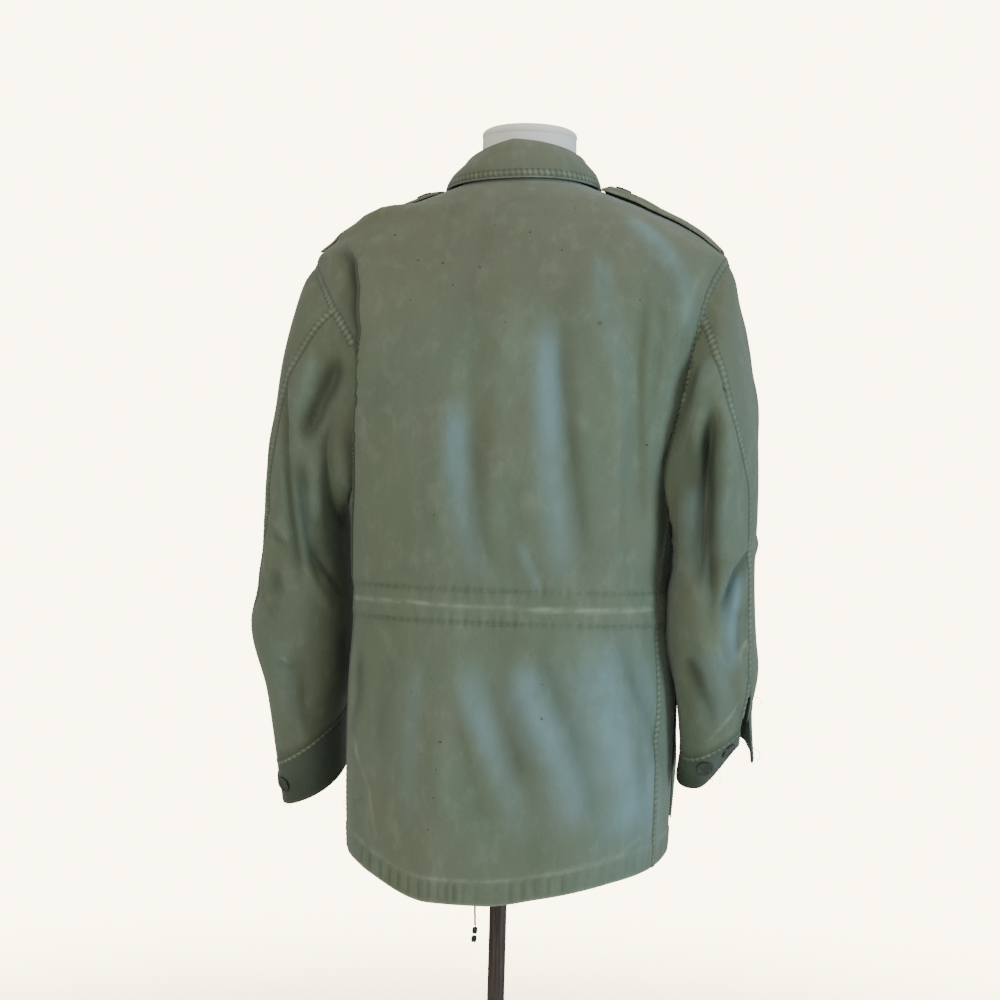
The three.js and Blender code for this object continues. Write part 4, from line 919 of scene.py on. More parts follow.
def sideAngle(zAt, side):
    angle = np.array(0.2 if side > 0 else math.pi - 0.2)
    for _ in range(4):
        z = zAt(angle)
        angle = angleAtY(z, columnOf(sideSeamRows, "z", "y", z), side)
    return float(angle)


def panelRowList():
    near = np.linspace(0, 1, panelRows["skirt"], endpoint=False)
    rows = [("skirt", float(s)) for s in near]
    rows += [("armhole", float(t)) for t in np.linspace(math.pi, 0, panelRows["armhole"])]
    rows += [("yoke", float(s)) for s in np.linspace(0, 1, panelRows["yoke"] + 1)[1:]]
    return rows


def rowHeight(row):
    kind, share = row
    if kind == "skirt":
        return lambda angle: lerp(hemHeight(angle), armpitZ, share)
    if kind == "armhole":
        return lambda angle: armholeHeight(share) + 0 * angle
    return lambda angle: lerp(shoulderTipZ, neckHeight(angle), share)


def rowEdge(row, side, isBack):
    kind, share = row
    if kind == "armhole":
        return float(armholeAngle(share if isBack else 2 * math.pi - share, side))
    if kind == "yoke":
        return 0.0 if side > 0 else math.pi
    return sideAngle(rowHeight(row), side)


def backColumns(low, high, middle, radius):  # angles across the back, close together at the pleat
    fine = np.array([-9, -7, -5.5, -4.4, -3.6, -2.9, -2.3, -1.8, -1.3, -0.8, -0.4, 0, 0.5, 1.2, 2.2, 3.6, 5.5, 8, 12])
    fine = middle + fine / radius
    before = np.linspace(low, fine[0], 12, endpoint=False)
    after = np.linspace(fine[-1], high, 154)[1:]
    return np.concatenate([before, fine, after])


def panelGrid(name):
    angles, heights = [], []
    for row in panelRowList():
        zAt = rowHeight(row)
        if name == "back":
            low, high = rowEdge(row, 1, True), rowEdge(row, -1, True)
            z = float(zAt(np.array(0.4)))
            middle = max(math.radians(float(pleatAngle(z))), low + 0.09)
            line = backColumns(low, high, middle, float(section(z)["halfWidth"]) * 0.97)
        elif name == "front_left":
            line = np.linspace(-math.pi / 2, rowEdge(row, 1, False), 84)
        else:
            line = np.linspace(rowEdge(row, -1, False), 1.5 * math.pi, 84)
        angles.append(line)
        heights.append(zAt(line))
    return np.array(angles), np.array(heights)


def bodyWear(angle, z):
    aboveHem = z - hemHeight(angle)
    edge = 0.75 * (1 - smooth(0.5, 3.5, aboveHem))
    rib = 0.6 * bump(aboveHem - hemBand["height"], 2) * (0.7 + 0.3 * wander(angle * 8, 33))
    ridge = 0.8 * bump(z - waistZ - 1.5 * wander(angle, 21, 0.3), 2.2) * (0.75 + 0.4 * wander(angle, 4, 0.15))
    return np.clip(edge + rib + ridge, 0, 1)


def bodyDirtAndShade(angle, z):  # dark along the waist's stitching; painted shade inside the pleat and in the hollows of the hem band's puckers
    sewn = bump(z - waistZ + 17, 2.4) + bump(z - waistZ - 17, 2.4)
    patchy = 0.55 + 0.3 * np.cos(112 * angle + wander(angle * 9, 60)) + 0.3 * wander(angle * 7, 61)
    away = (np.radians(pleatAngle(z)) - angle) * 185
    pleatShade = 0.2 * smooth(0, 6, away) * (1 - smooth(12, 30, away)) + 0.7 * bump(away - 8, 5)
    pleatShade = pleatShade + 0.7 * bump(away - 0.4, 1.8)
    pleatShade = pleatShade * smooth(*pleat["low"], z) * (1 - smooth(1290, 1336, z)) * (np.sin(angle) > 0)
    aboveHem = z - hemHeight(angle)
    inBand = smooth(1, 5, aboveHem) * (1 - smooth(hemBand["height"] - 7, hemBand["height"] - 1, aboveHem))
    puckerShade = smooth(0.1, 1, np.sin(76 * angle + 5 * wander(angle * 2, 3, 0.4) + 3.1)) * (0.5 + 0.5 * wander(angle * 6, 8))
    return np.clip(0.45 * sewn * patchy + pleatShade + 0.4 * puckerShade * inBand, 0, 1)


def troughShade(depth):  # painted shade, darker the deeper the trough
    return np.clip(-depth / 14, 0, 0.6)


def makeBody():
    made = {}
    for name in ("back", "front_left", "front_right"):
        angle, z = panelGrid(name)
        outer = bodyPoint(angle, z)
        outerGrids[name] = outer
        # a faint bluish tint, and the painted bluish sheen along the listed folds
        cool = 0.08 + np.clip(creaseDepth(outer, "bodyCool"), 0, 1)
        fold = creaseDepth(outer, "body")
        # real wear at the hem and waist and along the listed lines, painted highlights on the fold ridges
        wear = np.clip(bodyWear(angle, z) + fold / 60 + creaseDepth(outer, "bodyWorn"), 0, 1)
        # dark stitching, and painted shade in the pleat, the troughs and the listed deep folds
        dirt = bodyDirtAndShade(angle, z) + troughShade(fold) + creaseDepth(outer, "bodyDark")
        values = dict(wear=wear, dirt=np.clip(dirt, 0, 0.9), cool=cool)
        piece = wallPiece(camel(name, "Cloth"), outer, wall * 0.8, clothFinish, values)
        made[name] = finishSheet(piece, name, outer)
    return made


sheetHold = dict(held="draped", rests=["form_torso"])


def flatSize(grid):
    uv = gridUv(grid)
    size = uv.reshape(-1, 2).max(0) - uv.reshape(-1, 2).min(0)
    a, b, c, d = grid[:-1, :-1], grid[:-1, 1:], grid[1:, 1:], grid[1:, :-1]
    area = 0.5 * np.linalg.norm(np.cross(c - a, d - b), axis=-1).sum()
    width, length = sorted(size * mm)
    area = min(area * mm * mm, width * length)
    return (round(width, 3), round(length, 3)), max(area, 0.31 * width * length)


def finishSheet(piece, node, grid):
    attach(piece, "root")
    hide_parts(node)
    flat, area = flatSize(grid)
    min(area, flat[0] * flat[1])
    return piece


body = makeBody()
print("body made")


# The sleeves

sleeveColumns = ("outX", "outZ", "inX", "inZ", "y", "depth", "rise")
sleeves = dict(
    left=dict(
        side=1,
        backSeamColumn=3,
        seamEnd=20,
        rows=[
            (230, 1314, 182, 1045, 18, 66, 0),
            (241, 1296, 187, 1036, 15, 70, 0),
            (250, 1258, 189, 1023, 11, 75, 0),
            (262, 1200, 190, 1006, 8, 78, 0),
            (271, 1130, 189, 985, 5, 78, 2),
            (278, 1060, 187, 955, 2, 76, 4),
            (284, 985, 186, 915, 0, 73, 6),
            (297, 908, 188, 868, -4, 69, 9),
            (281, 835, 192, 835, -16, 62, 14),
            (272, 752, 200, 799, -32, 55, 20),
        ],
        cuffEnd=(270, 706, 202, 733, -46, 47, 18),
        curl=0,
        cuffFrom=28,
        cuffTo=386,
        flare=0,
        vent=0,
        buttons=(56, 24),
        buttonAt=0.5,
    ),
    right=dict(
        side=-1,
        backSeamColumn=4,
        seamEnd=34,
        rows=[
            (230, 1314, 182, 1045, 18, 66, 0),
            (240, 1292, 187, 1036, 15, 70, 0),
            (247, 1250, 189, 1023, 11, 75, 0),
            (259, 1192, 190, 1006, 8, 78, 0),
            (268, 1125, 189, 985, 5, 78, 2),
            (270, 1055, 182, 955, 2, 76, 4),
            (268, 985, 180, 915, -1, 72, 6),
            (270, 925, 184, 873, -6, 67, 9),
            (274, 872, 188, 830, -17, 61, 16),
            (267, 829, 191, 789, -29, 55, 26),
        ],
        cuffEnd=(264, 779, 186, 757, -41, 48, 21),
        curl=28,
        cuffFrom=42,
        cuffTo=380,
        flare=8,
        vent=9,
        buttons=(98, 62),
        buttonAt=0.36,
    ),
)
sleeveFoldColumns = ("a0", "v0", "a1", "v1", "width", "depth")
sleeveFolds = dict(
    left=[
        (60, 0.3, 105, 0.62, 11, -6),
        (40, 0.42, 62, 0.72, 12, 4),
        (20, 0.74, 80, 0.66, 9, -5),
        (250, 0.6, 320, 0.7, 10, -5),
    ],
    right=[
        (95, 0.22, 82, 0.68, 11, -7),
        (70, 0.2, 60, 0.6, 13, 4),
        (25, 0.62, 70, 0.7, 9, -5),
        (250, 0.6, 320, 0.7, 10, -5),
    ],
)
frontColumn = 2 * armhole["steps"] - 6
sleeveSize = dict(rows=186, columns=90, length=430)


def sleeveRing(spec, v):
    count = len(spec["rows"])
    table = [dict(zip(sleeveColumns, row), v=i / (count - 1)) for i, row in enumerate(spec["rows"])]
    return {name: columnOf(table, "v", name, v) for name in sleeveColumns}


def ringPoint(ring, turn, side):
    c, s = np.cos(turn), np.sin(turn)
    full = 2.3
    r = (np.abs(c) ** full + np.abs(s) ** full) ** (-1 / full)
    across = (r * c + 1) / 2
    x = side * lerp(ring["inX"], ring["outX"], across)
    y = ring["y"] + ring["depth"] * r * s
    z = lerp(ring["inZ"], ring["outZ"], across) - ring["rise"] * r * s
    return np.stack([x + 0 * z, y + 0 * z, z], -1)


def sleeveTurn(spec, j, v):
    steps = armhole["steps"]
    start = lambda k: k * math.pi / steps
    ease = smooth(0, 0.5, v)
    seamBack = lerp(start(spec["backSeamColumn"]), math.radians(spec["seamEnd"]), ease)
    seamFront = lerp(start(frontColumn), math.radians(262), ease)
    under = (j - spec["backSeamColumn"]) / (frontColumn - spec["backSeamColumn"])
    over = (j - frontColumn) / (2 * steps + spec["backSeamColumn"] - frontColumn)
    shared = np.where(
        j <= frontColumn,
        lerp(seamBack, seamFront, under),
        lerp(seamFront, seamBack + 2 * math.pi, over),
    )
    return lerp(start(j), shared, ease)


def sleeveFoldDepth(name, turn, v):
    spec = sleeves[name]
    ring = sleeveRing(spec, v)
    total = 0
    for row in sleeveFolds[name]:
        fold = dict(zip(sleeveFoldColumns, row))
        scale = np.radians(1) * ring["depth"]
        mx = (fold["a1"] - fold["a0"]) * scale
        my = (fold["v1"] - fold["v0"]) * sleeveSize["length"]
        hx = wrap(np.degrees(turn) - fold["a0"]) * scale
        hy = (v - fold["v0"]) * sleeveSize["length"]
        square = mx * mx + my * my
        along = (hx * mx + hy * my) / square
        across = (hx * my - hy * mx) / np.sqrt(square)
        total = total + foldDepth(along, across, fold["depth"], fold["width"])
    return total * smooth(0.06, 0.2, v) * (1 - smooth(0.86, 0.97, v))


def sleeveBase(name, turn, v):
    spec = sleeves[name]
    p = ringPoint(sleeveRing(spec, v), turn, spec["side"])
    start = ringPoint(sleeveRing(spec, 0 * v), turn, spec["side"])
    away = armholePoint(turn, spec["side"]) - start
    share = (1 - smooth(0, 0.35, v)) ** 2
    return p + away * share[..., None]


def sleeveNormal(name, turn, v):
    ahead, behind = np.minimum(v + 0.006, 1), np.maximum(v - 0.006, 0)
    around = sleeveBase(name, turn + 0.02, v) - sleeveBase(name, turn - 0.02, v)
    down = sleeveBase(name, turn, ahead) - sleeveBase(name, turn, behind)
    n = unit(np.cross(down, around))
    return n if sleeves[name]["side"] > 0 else -n


def sleeveGrid(name, first, last):
    spec = sleeves[name]
    v, j = np.meshgrid(
        np.linspace(0, 1, sleeveSize["rows"]),
        np.linspace(first, last, sleeveSize["columns"]),
        indexing="ij",
    )
    side = np.where(j < (first + last) / 2, 1.0, -1.0)
    fromSeam = np.abs(np.where(j < (first + last) / 2, j - first, j - last))
    onBackSeam = (j < (first + last) / 2) == (first == spec["backSeamColumn"])
    open_ = math.radians(spec["vent"]) * smooth(0.84, 1, v) * np.clip(1 - fromSeam, 0, 1) * onBackSeam
    turn = sleeveTurn(spec, j, v) + side * open_
    return turn, v


def sleeveSurface(name, turn, v, out=0.0):
    base = sleeveBase(name, turn, v)
    pressed = creaseDepth(base, name) * smooth(0, 0.08, v) * (1 - smooth(0.88, 0.98, v))
    depth = sleeveFoldDepth(name, turn, v) + pressed + out
    return base + sleeveNormal(name, turn, v) * depth[..., None]


def makeSleeves():
    made = {}
    for name, spec in sleeves.items():
        v, turn = np.meshgrid(np.linspace(0, 1, 90), np.linspace(0, 2 * np.pi, 73), indexing="ij")
        plain = treeOf([sleeveBase(name, turn, v)])
        layCreases(name, plain, lambda degrees, share, name=name: sleeveBase(
            name, np.array(math.radians(degrees)), np.array(float(share))))
        steps = armhole["steps"]
        spans = dict(
            under=(spec["backSeamColumn"], frontColumn),
            top=(frontColumn, 2 * steps + spec["backSeamColumn"]),
        )
        for part, (first, last) in spans.items():
            turn, v = sleeveGrid(name, first, last)
            outer = sleeveSurface(name, turn, v)
            node = f"sleeve_{name}_{part}"
            outerGrids[node] = outer
            # a faint bluish tint, and the painted bluish sheen along the listed folds
            cool = 0.05 + np.clip(creaseDepth(outer, name + "Cool"), 0, 1)
            fold = creaseDepth(outer, name) + sleeveFoldDepth(name, turn, v)
            # lighter at the sleeve's end, painted highlights on the fold ridges, and the listed worn lines
            wear = np.clip(0.1 * smooth(0.985, 1, v) + fold / 60 + creaseDepth(outer, name + "Worn"), 0, 1)
            # painted shade: the whole sleeve a little darker, the troughs and listed deep folds darker; darker also at
            # the sleeve's end
            dirt = 0.1 + 0.5 * smooth(0.97, 1, v) + troughShade(fold) + creaseDepth(outer, name + "Dark")
            dirt = np.clip(dirt, 0, 0.9)
            values = dict(wear=wear, dirt=dirt, cool=cool)
            flip = 1.0 if spec["side"] > 0 else -1.0
            label = f"sleeve{name.capitalize()}{part.capitalize()}Cloth"
            piece = wallPiece(label, outer, wall * 0.8, clothFinish, values, flip=-flip)
            made[node] = finishSheet(piece, node, outer)
    return made


sleevePieces = makeSleeves()
print("sleeves made")


# The cuffs

cuff = dict(thickness=2.4, inset=0.8, drop=0.8, columns=110, rows=18)


def cuffPoint(name, turn, w, out):
    spec = sleeves[name]
    last, end = spec["rows"][-1], spec["cuffEnd"]
    ring = {key: lerp(a, b, w) for key, a, b in zip(sleeveColumns, last, end)}
    opening = smooth(math.radians(spec["cuffTo"] - 46), math.radians(spec["cuffTo"]), turn)
    away = out - cuff["inset"] + spec["flare"] * w * opening
    ring["outX"] = ring["outX"] + away
    ring["inX"] = ring["inX"] - away
    ring["depth"] = ring["depth"] + away
    p = ringPoint(ring, turn, spec["side"])
    curl = w * (1 - smooth(math.radians(spec["cuffFrom"]), math.radians(spec["cuffFrom"] + 66), turn))
    overlap = 3.4 * (1 - smooth(0, 0.16, w))
    p[..., 2] += spec["curl"] * curl - cuff["drop"] + overlap
    p[..., 1] -= spec["curl"] * curl * 0.4
    return p


def makeCuffs():
    made = {}
    for name, spec in sleeves.items():
        ends = [math.radians(spec["cuffFrom"]), math.radians(spec["cuffTo"])]
        w, turn = np.meshgrid(
            np.linspace(0, 1, cuff["rows"]), np.linspace(*ends, cuff["columns"]), indexing="ij"
        )
        outer = cuffPoint(name, turn, w, cuff["thickness"] / 2)
        inner = cuffPoint(name, turn, w, -cuff["thickness"] / 2)
        outerGrids[f"cuff_{name}"] = outer
        worn = 0.5 * smooth(0.95, 1, w) + 0.1 * (1 - smooth(0, 0.04, w))
        values = dict(wear=worn, dirt=0.62 + 0.15 * smooth(0.2, 0.9, w), cool=0.3 + 0 * w)
        piece = wallPiece(f"cuff{name.capitalize()}Cloth", outer, 0, clothFinish, values, inner=inner)
        made[name] = finishSheet(piece, f"cuff_{name}", outer)
    return made


cuffPieces = makeCuffs()
print("cuffs made")


# The collar

collar = dict(reach=164, thickness=2.0, tilt=3.5, columns=150, rows=46)
collarColumns = ("angle", "stand", "lean", "drop", "lift")
collarRows = [
    dict(zip(collarColumns, row))
    for row in [
        (0, 41, 8, 7, 1.4),
        (60, 31, 10, 6, 1.4),
        (95, 26, 7, 7, 2),
        (135, 24, 4, 28, 4),
        (164, 20, 0, 60, 5),
    ]
]


def collarProfile(fromBack):
    at = {name: float(columnOf(collarRows, "angle", name, abs(fromBack))) for name in collarColumns[1:]}
    plan = math.radians(90 + fromBack)
    e = np.array([math.cos(plan), math.sin(plan), 0])
    x = neck["x"] + neck["halfWidth"] * e[0]
    y = neck["centreY"] + neck["halfDepth"] * e[1]
    z = float(yokeHeight(np.array(x), np.array(y)))
    foot = np.array([x, y, z])
    s = section(z)
    angle = np.array(math.atan2(y - s["centreY"], x - s["x"]))
    edge = bodyPoint(angle, np.array(z - at["drop"]), at["lift"] + collar["thickness"])
    rise = lambda height, out: foot + e * out + np.array([0, 0, height])
    stand, lean = at["stand"] - collar["tilt"] * e[0], at["lean"]
    rollOut = rise(stand - 4, 8 - lean)
    between = (rollOut + edge) / 2 + e * 4
    t = -collar["thickness"]
    return np.array([
        rise(0.4, t), rise(stand * 0.5, t - lean * 0.5), rise(stand - 4, t - lean), rise(stand + 1, 1 - lean),
        rise(stand + 0.5, 4.5 - lean), rollOut, between, edge,
    ])


def makeCollar():
    profiles = [
        through(collarProfile(a), collar["rows"])
        for a in np.linspace(-collar["reach"], collar["reach"], collar["columns"])
    ]
    outer = np.array(profiles).transpose(1, 0, 2)
    inner = outer + gridNormals(outer) * collar["thickness"]
    outerGrids["collar"] = outer[:, ::-1]
    share = np.linspace(0, 1, collar["rows"])[:, None] + 0 * outer[..., 0]
    roll = bump((share - 0.5) * 10, 0.9) * (0.5 + 0.5 * wander(outer[..., 0], 8, 9))
    values = dict(wear=np.clip(0.5 * smooth(0.985, 1, share) + 0.3 * roll, 0, 1), dirt=0 * share, cool=0.1 + 0 * share)
    piece = wallPiece("collarCloth", outer, 0, clothFinish, values, inner=inner)
    return finishSheet(piece, "collar", outer)


collarPiece = makeCollar()
print("collar made")


# Shoulder straps

strap = dict(innerX=88, outerX=223, halfOuter=25, halfInner=20, thickness=2.2, rows=60, columns=22)
straps = [
    dict(name="epaulette_left", side=1, rise=1.5, tilt=-0.5, end=2.5),
    dict(name="epaulette_right", side=-1, rise=3.5, tilt=1, end=5),
]


def strapPoint(spec, along, across, out):
    x = lerp(strap["outerX"], strap["innerX"], along)
    half = lerp(strap["halfOuter"], strap["halfInner"], along)
    point = 1 - smooth(0.9, 1, along) * 0.35 * np.abs(across)
    y = -3 + across * half
    xTip = x + (1 - point) * 10
    z = yokeHeight(spec["side"] * xTip, y)
    s = section(z)
    angle = np.arctan2(y - s["centreY"], spec["side"] * xTip - s["x"])
    hump = np.sin(np.pi * np.clip(along, 0, 1)) ** 0.8
    lift = 1.2 + hump * (spec["rise"] + spec["tilt"] * across * 2.2)
    lift = lift + spec["end"] * smooth(0.4, 0.9, along) * (1 - 0.85 * smooth(0.93, 1, along))
    lift = lift - 0.7 * (lift - 1) * smooth(0.3, 1, np.abs(across)) ** 1.5
    n = bodyNormal(angle, z)
    return bodyPoint(angle, z) + n * (lift + out)[..., None]


def makeStraps():
    made = {}
    for spec in straps:
        along, across = np.meshgrid(
            np.linspace(0, 1, strap["rows"]), np.linspace(-1, 1, strap["columns"]), indexing="ij"
        )
        outer = strapPoint(spec, along, across, strap["thickness"])
        inner = strapPoint(spec, along, across, 0.0)
        outerGrids[spec["name"]] = outer
        edge = smooth(0.9, 1, np.abs(across))
        values = dict(wear=0.6 * edge, dirt=0 * edge, cool=0 * edge)
        label = spec["name"].replace("epaulette_left", "strapLeftCloth").replace("epaulette_right", "strapRightCloth")
        piece = wallPiece(label, outer, 0, clothFinish, values, inner=inner)
        made[spec["name"]] = finishSheet(piece, spec["name"], outer)
    return made


strapPieces = makeStraps()
print("straps made")


# Pockets, flaps and the front's placket

pocketColumns = ("name", "angle", "width", "top", "bottom", "flap", "bulge")
pockets = [
    dict(zip(pocketColumns, row))
    for row in [
        ("chest_pocket_left", 308, 122, 1206, 1062, 58, 3),
        ("chest_pocket_right", 232, 122, 1206, 1062, 58, 3),
        ("hip_pocket_left", 321, 186, 888, 700, 66, 7),
        ("hip_pocket_right", 223, 186, 888, 700, 66, 5),
    ]
]
placket = dict(halfWidth=27, thickness=1.8, lift=0.9)


def alongFront(centreDegrees, offset, z):
    angle = math.radians(centreDegrees) + 0 * z
    middle = bodyBase(angle, z)
    radius = np.hypot(middle[..., 0], middle[..., 1] - section(z)["centreY"])
    return angle + offset / radius


def patchPiece(label, node, angle, z, lift, thickness, wear):
    outer = bodyPoint(angle, z, lift + thickness)
    inner = bodyPoint(angle, z, lift)
    outerGrids[node] = outer
    values = dict(wear=wear, dirt=0 * z, cool=0 * z)
    piece = wallPiece(label, outer, 0, clothFinish, values, inner=inner)
    side = "front_right" if "right" in node else "front_left"
    return finishSheet(piece, node, outer)


def makePockets():
    made = {}
    for spec in pockets:
        bagTop = spec["top"] - 12
        z, s = np.meshgrid(np.linspace(spec["bottom"], bagTop, 46), np.linspace(0, 1, 38), indexing="ij")
        t = (z - spec["bottom"]) / (bagTop - spec["bottom"])
        dome = np.maximum(np.sin(np.pi * s) * np.sin(np.pi * np.minimum(t + 0.08, 1)), 0) ** 0.6
        angle = alongFront(spec["angle"], (s - 0.5) * spec["width"], z)
        rim = smooth(0.46, 0.5, np.abs(s - 0.5))
        made[spec["name"]] = patchPiece(camel(spec["name"], "Cloth"), spec["name"], angle, z,
                                        1 + spec["bulge"] * dome, 1.4, 0.5 * rim)
        low = spec["top"] - spec["flap"]
        level, s = np.meshgrid(np.linspace(low, spec["top"], 32), np.linspace(0, 1, 38), indexing="ij")
        t = (level - low) / spec["flap"]
        edge = np.abs(s - 0.5) * 2
        z = spec["top"] - (spec["top"] - level) * (1 - 0.16 * edge ** 1.5)
        outward = spec["bulge"] * np.sin(np.pi * s) ** 0.6 * (1 - smooth(0.4, 1.05, t))
        lift = lerp(4.7, 0.9, smooth(spec["top"] - 9, spec["top"], level)) + outward
        angle = alongFront(spec["angle"], (s - 0.5) * (spec["width"] + 8), z)
        node = spec["name"] + "_flap"
        worn = np.maximum(smooth(0.94, 1, edge), 1 - smooth(0, 0.05, t))
        made[node] = patchPiece(camel(node, "Cloth"), node, angle, z, lift, 1.8, 0.6 * worn)
    return made


def makePlacket():
    centre = np.array(1.5 * math.pi)
    z, s = np.meshgrid(
        np.linspace(float(hemHeight(centre)) + 2, float(neckHeight(centre)) - 5, 190),
        np.linspace(0, 1, 24),
        indexing="ij",
    )
    angle = alongFront(270, (s - 0.5) * 2 * placket["halfWidth"], z)
    rim = smooth(0.46, 0.5, np.abs(s - 0.5))
    return patchPiece("placketCloth", "fly_placket", angle, z, placket["lift"] + 0 * z, placket["thickness"], 0.5 * rim)


pocketPieces = makePockets()
placketPiece = makePlacket()
print("pockets and placket made")


# Buttons

button = dict(radius=9, thickness=3, seatGap=0.45)


def buttonMaster():
    bpy.ops.object.select_all(action="DESELECT")
    bpy.ops.mesh.primitive_cylinder_add(vertices=40, radius=button["radius"], depth=button["thickness"],
                                        location=(0, 0, button["thickness"] / 2))
    made = bpy.context.active_object
    bpy.ops.object.mode_set(mode="EDIT")
    bpy.ops.mesh.select_all(action="DESELECT")
    bpy.ops.object.mode_set(mode="OBJECT")
    for face in made.data.polygons:
        face.select = face.normal.z > 0.9
    bpy.ops.object.mode_set(mode="EDIT")
    bpy.ops.mesh.select_mode(type="FACE")
    bpy.ops.mesh.inset(thickness=1.2)
    bpy.ops.mesh.inset(thickness=1.8)
    bpy.ops.transform.translate(value=(0, 0, -0.95))
    bpy.ops.mesh.inset(thickness=2.2)
    bpy.ops.mesh.inset(thickness=1.4)
    bpy.ops.object.mode_set(mode="OBJECT")
    bevel = made.modifiers.new("bevel", "BEVEL")
    bevel.width = 0.5
    bevel.segments = 3
    bevel.limit_method = "ANGLE"
    bpy.ops.object.modifier_apply(modifier="bevel")
    made.data.transform(Matrix.Scale(mm, 4))
    made.location = (0, 0, 0)
    return made


def seatOn(node, normalUp, seat):  # a matrix that stands a button's axis on a point
    turn = Vector((0, 0, 1)).rotation_difference(Vector(normalUp)).to_matrix().to_4x4()
    return Matrix.Translation(Vector(seat) * mm) @ turn


def makeButtons():
    master = buttonMaster()
    places = {}
    for name, spec in sleeves.items():
        for i, degrees in enumerate(spec["buttons"]):
            turn, out, at = np.array(math.radians(degrees)), cuff["thickness"] / 2, spec["buttonAt"]
            seat = cuffPoint(name, turn, np.array(at), out)
            around = cuffPoint(name, turn + 0.05, np.array(at), out) - seat
            down = cuffPoint(name, turn, np.array(at + 0.1), out) - seat
            normal = unit(np.cross(down, around)) * spec["side"]
            places[f"cuff_button_{name}_{i + 1}"] = (seat + normal * button["seatGap"], normal)
    for spec in straps:
        at = lambda a, b: strapPoint(spec, np.array(a), np.array(b), strap["thickness"])
        seat = at(0.84, 0.0)
        up = unit(np.cross(at(0.89, 0.0) - seat, at(0.84, 0.4) - seat))
        up = up if up[2] > 0 else -up
        places[spec["name"] + "_button"] = (seat + up * 0.5, up)
    made = {}
    for node, (seat, normal) in places.items():
        copy = bpy.data.objects.new(camel(node, "Dish"), master.data.copy())
        bpy.context.scene.collection.objects.link(copy)
        copy.data.transform(seatOn(node, normal, seat + np.array([0, bodyY, 0])))
        copy.data.materials.clear()
        copy.data.materials.append(buttonFinish)
        bpy.ops.object.select_all(action="DESELECT")
        copy.select_set(True)
        bpy.context.view_layer.objects.active = copy
        bpy.ops.object.shade_smooth_by_angle(angle=math.radians(35))
        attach(copy, "root")
        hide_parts(node)
        made[node] = copy
    bpy.data.objects.remove(master)
    return made


buttonPieces = makeButtons()
print("buttons made")


# Seams and stitches

seam = dict(width=9.5, height=1, ladder=6.4, step=1.6, columns=9)
stitch = dict(pitch=3.1, length=2.2, radius=0.34, proud=0.12)
turnedGrids = ("sleeve_left_under", "sleeve_left_top", "cuff_left", "epaulette_right")
stitchSpots = dict(body=[], sleeves=[], trim=[])


# The seams' routes: down the sleeve's back in pixels of the photograph, round the armhole in degrees
backSeamPlaces = dict(
    left=[(338, 303), (318, 325), (300, 352), (285, 385), (277, 425), (272, 450), (267, 490), (266, 515)],
    right=[(703, 318), (715, 350), (725, 380), (735, 420), (745, 460), (750, 490), (750, 520), (749, 556), (750, 590)],
)
armholeRuns = dict(left=dict(Back=(-4, 76), Front=(190, 352)), right=dict(Back=(-4, 128), Front=(185, 352)))


def bedOf(*nodes):
    return treeOf([outerGrids[n][:, ::-1] if n in turnedGrids else outerGrids[n] for n in nodes])


def layOn(bed, points):  # the nearest places on a surface, with its directions there
    shape = points.shape
    spots, normals = np.empty((points.size // 3, 3)), np.empty((points.size // 3, 3))
    for i, p in enumerate(points.reshape(-1, 3)):
        spot, _, face, _ = bed["tree"].find_nearest(Vector(p))
        spots[i] = spot
        normals[i] = bed["normals"][bed["faces"][face]].mean(0)
    return spots.reshape(shape), unit(normals).reshape(shape)


def evenly(points, spacing):
    points = np.asarray(points, float)
    lengths = np.concatenate([[0], np.cumsum(np.linalg.norm(np.diff(points, axis=0), axis=1))])
    at = np.linspace(0, lengths[-1], max(int(lengths[-1] / spacing), 2) + 1)
    return np.stack([np.interp(at, lengths, points[:, k]) for k in range(3)], -1)


def sewRow(group, bed, path, lift=0.0):
    line = evenly(path, stitch["pitch"])
    spots, normals = layOn(bed, line)
    stitchSpots[group].append((spots + normals * (lift + stitch["proud"]), normals))


def addStrip(name, group, bed, path, width=seam["width"], height=seam["height"], shift=0.0, seed=1, rows=(-0.7, 0.7)):
    line, _ = layOn(bed, evenly(path, seam["step"]))
    _, normal = layOn(bed, line)
    side = unit(np.cross(normal, np.gradient(line, axis=0)))
    across = np.linspace(-1, 1, seam["columns"])
    spread = line[:, None] + side[:, None] * (across * width / 2 + shift)[None, :, None]
    spots, normals = layOn(bed, spread)
    run = (np.arange(len(line)) * seam["step"])[:, None]
    rung = np.cos(2 * np.pi * run / seam["ladder"] + 1.2 * wander(run * 0.05, seed) + 0.7 * across)
    dome = 1 - np.abs(across) ** 8
    lift = 0.1 + height * dome * (0.8 + 0.2 * rung) - 0.4 * bump(np.abs(across) - 0.62, 0.16)
    outer = spots + normals * lift[..., None]
    patchy = 0.5 + 0.5 * wander(run * 0.021, seed + 3)
    # painted highlights on the ladder's ridges, besides patchy wear
    worn = np.clip(0.16 + 0.2 * rung * dome + 0.2 * patchy, 0, 1)
    # painted shade along the stitch grooves and the strip's edges, and in the ladder's hollows
    grooveShade = bump(np.abs(across) - 0.62, 0.14) + smooth(0.86, 1, np.abs(across))
    stripDirtAndShade = np.clip(0.14 - 0.26 * rung * patchy + 0.6 * grooveShade, 0, 0.8)
    values = dict(wear=worn, dirt=stripDirtAndShade, cool=0.1 + 0 * worn)
    piece = wallPiece(name, outer, 0, clothFinish, values, inner=spots - normals * 0.3)
    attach(piece, "root")
    for at in rows:
        row = evenly(outer[:, int(round((at + 1) / 2 * (seam["columns"] - 1)))], stitch["pitch"])
        stitchSpots[group].append((row, layOn(bed, row)[1]))
    return piece


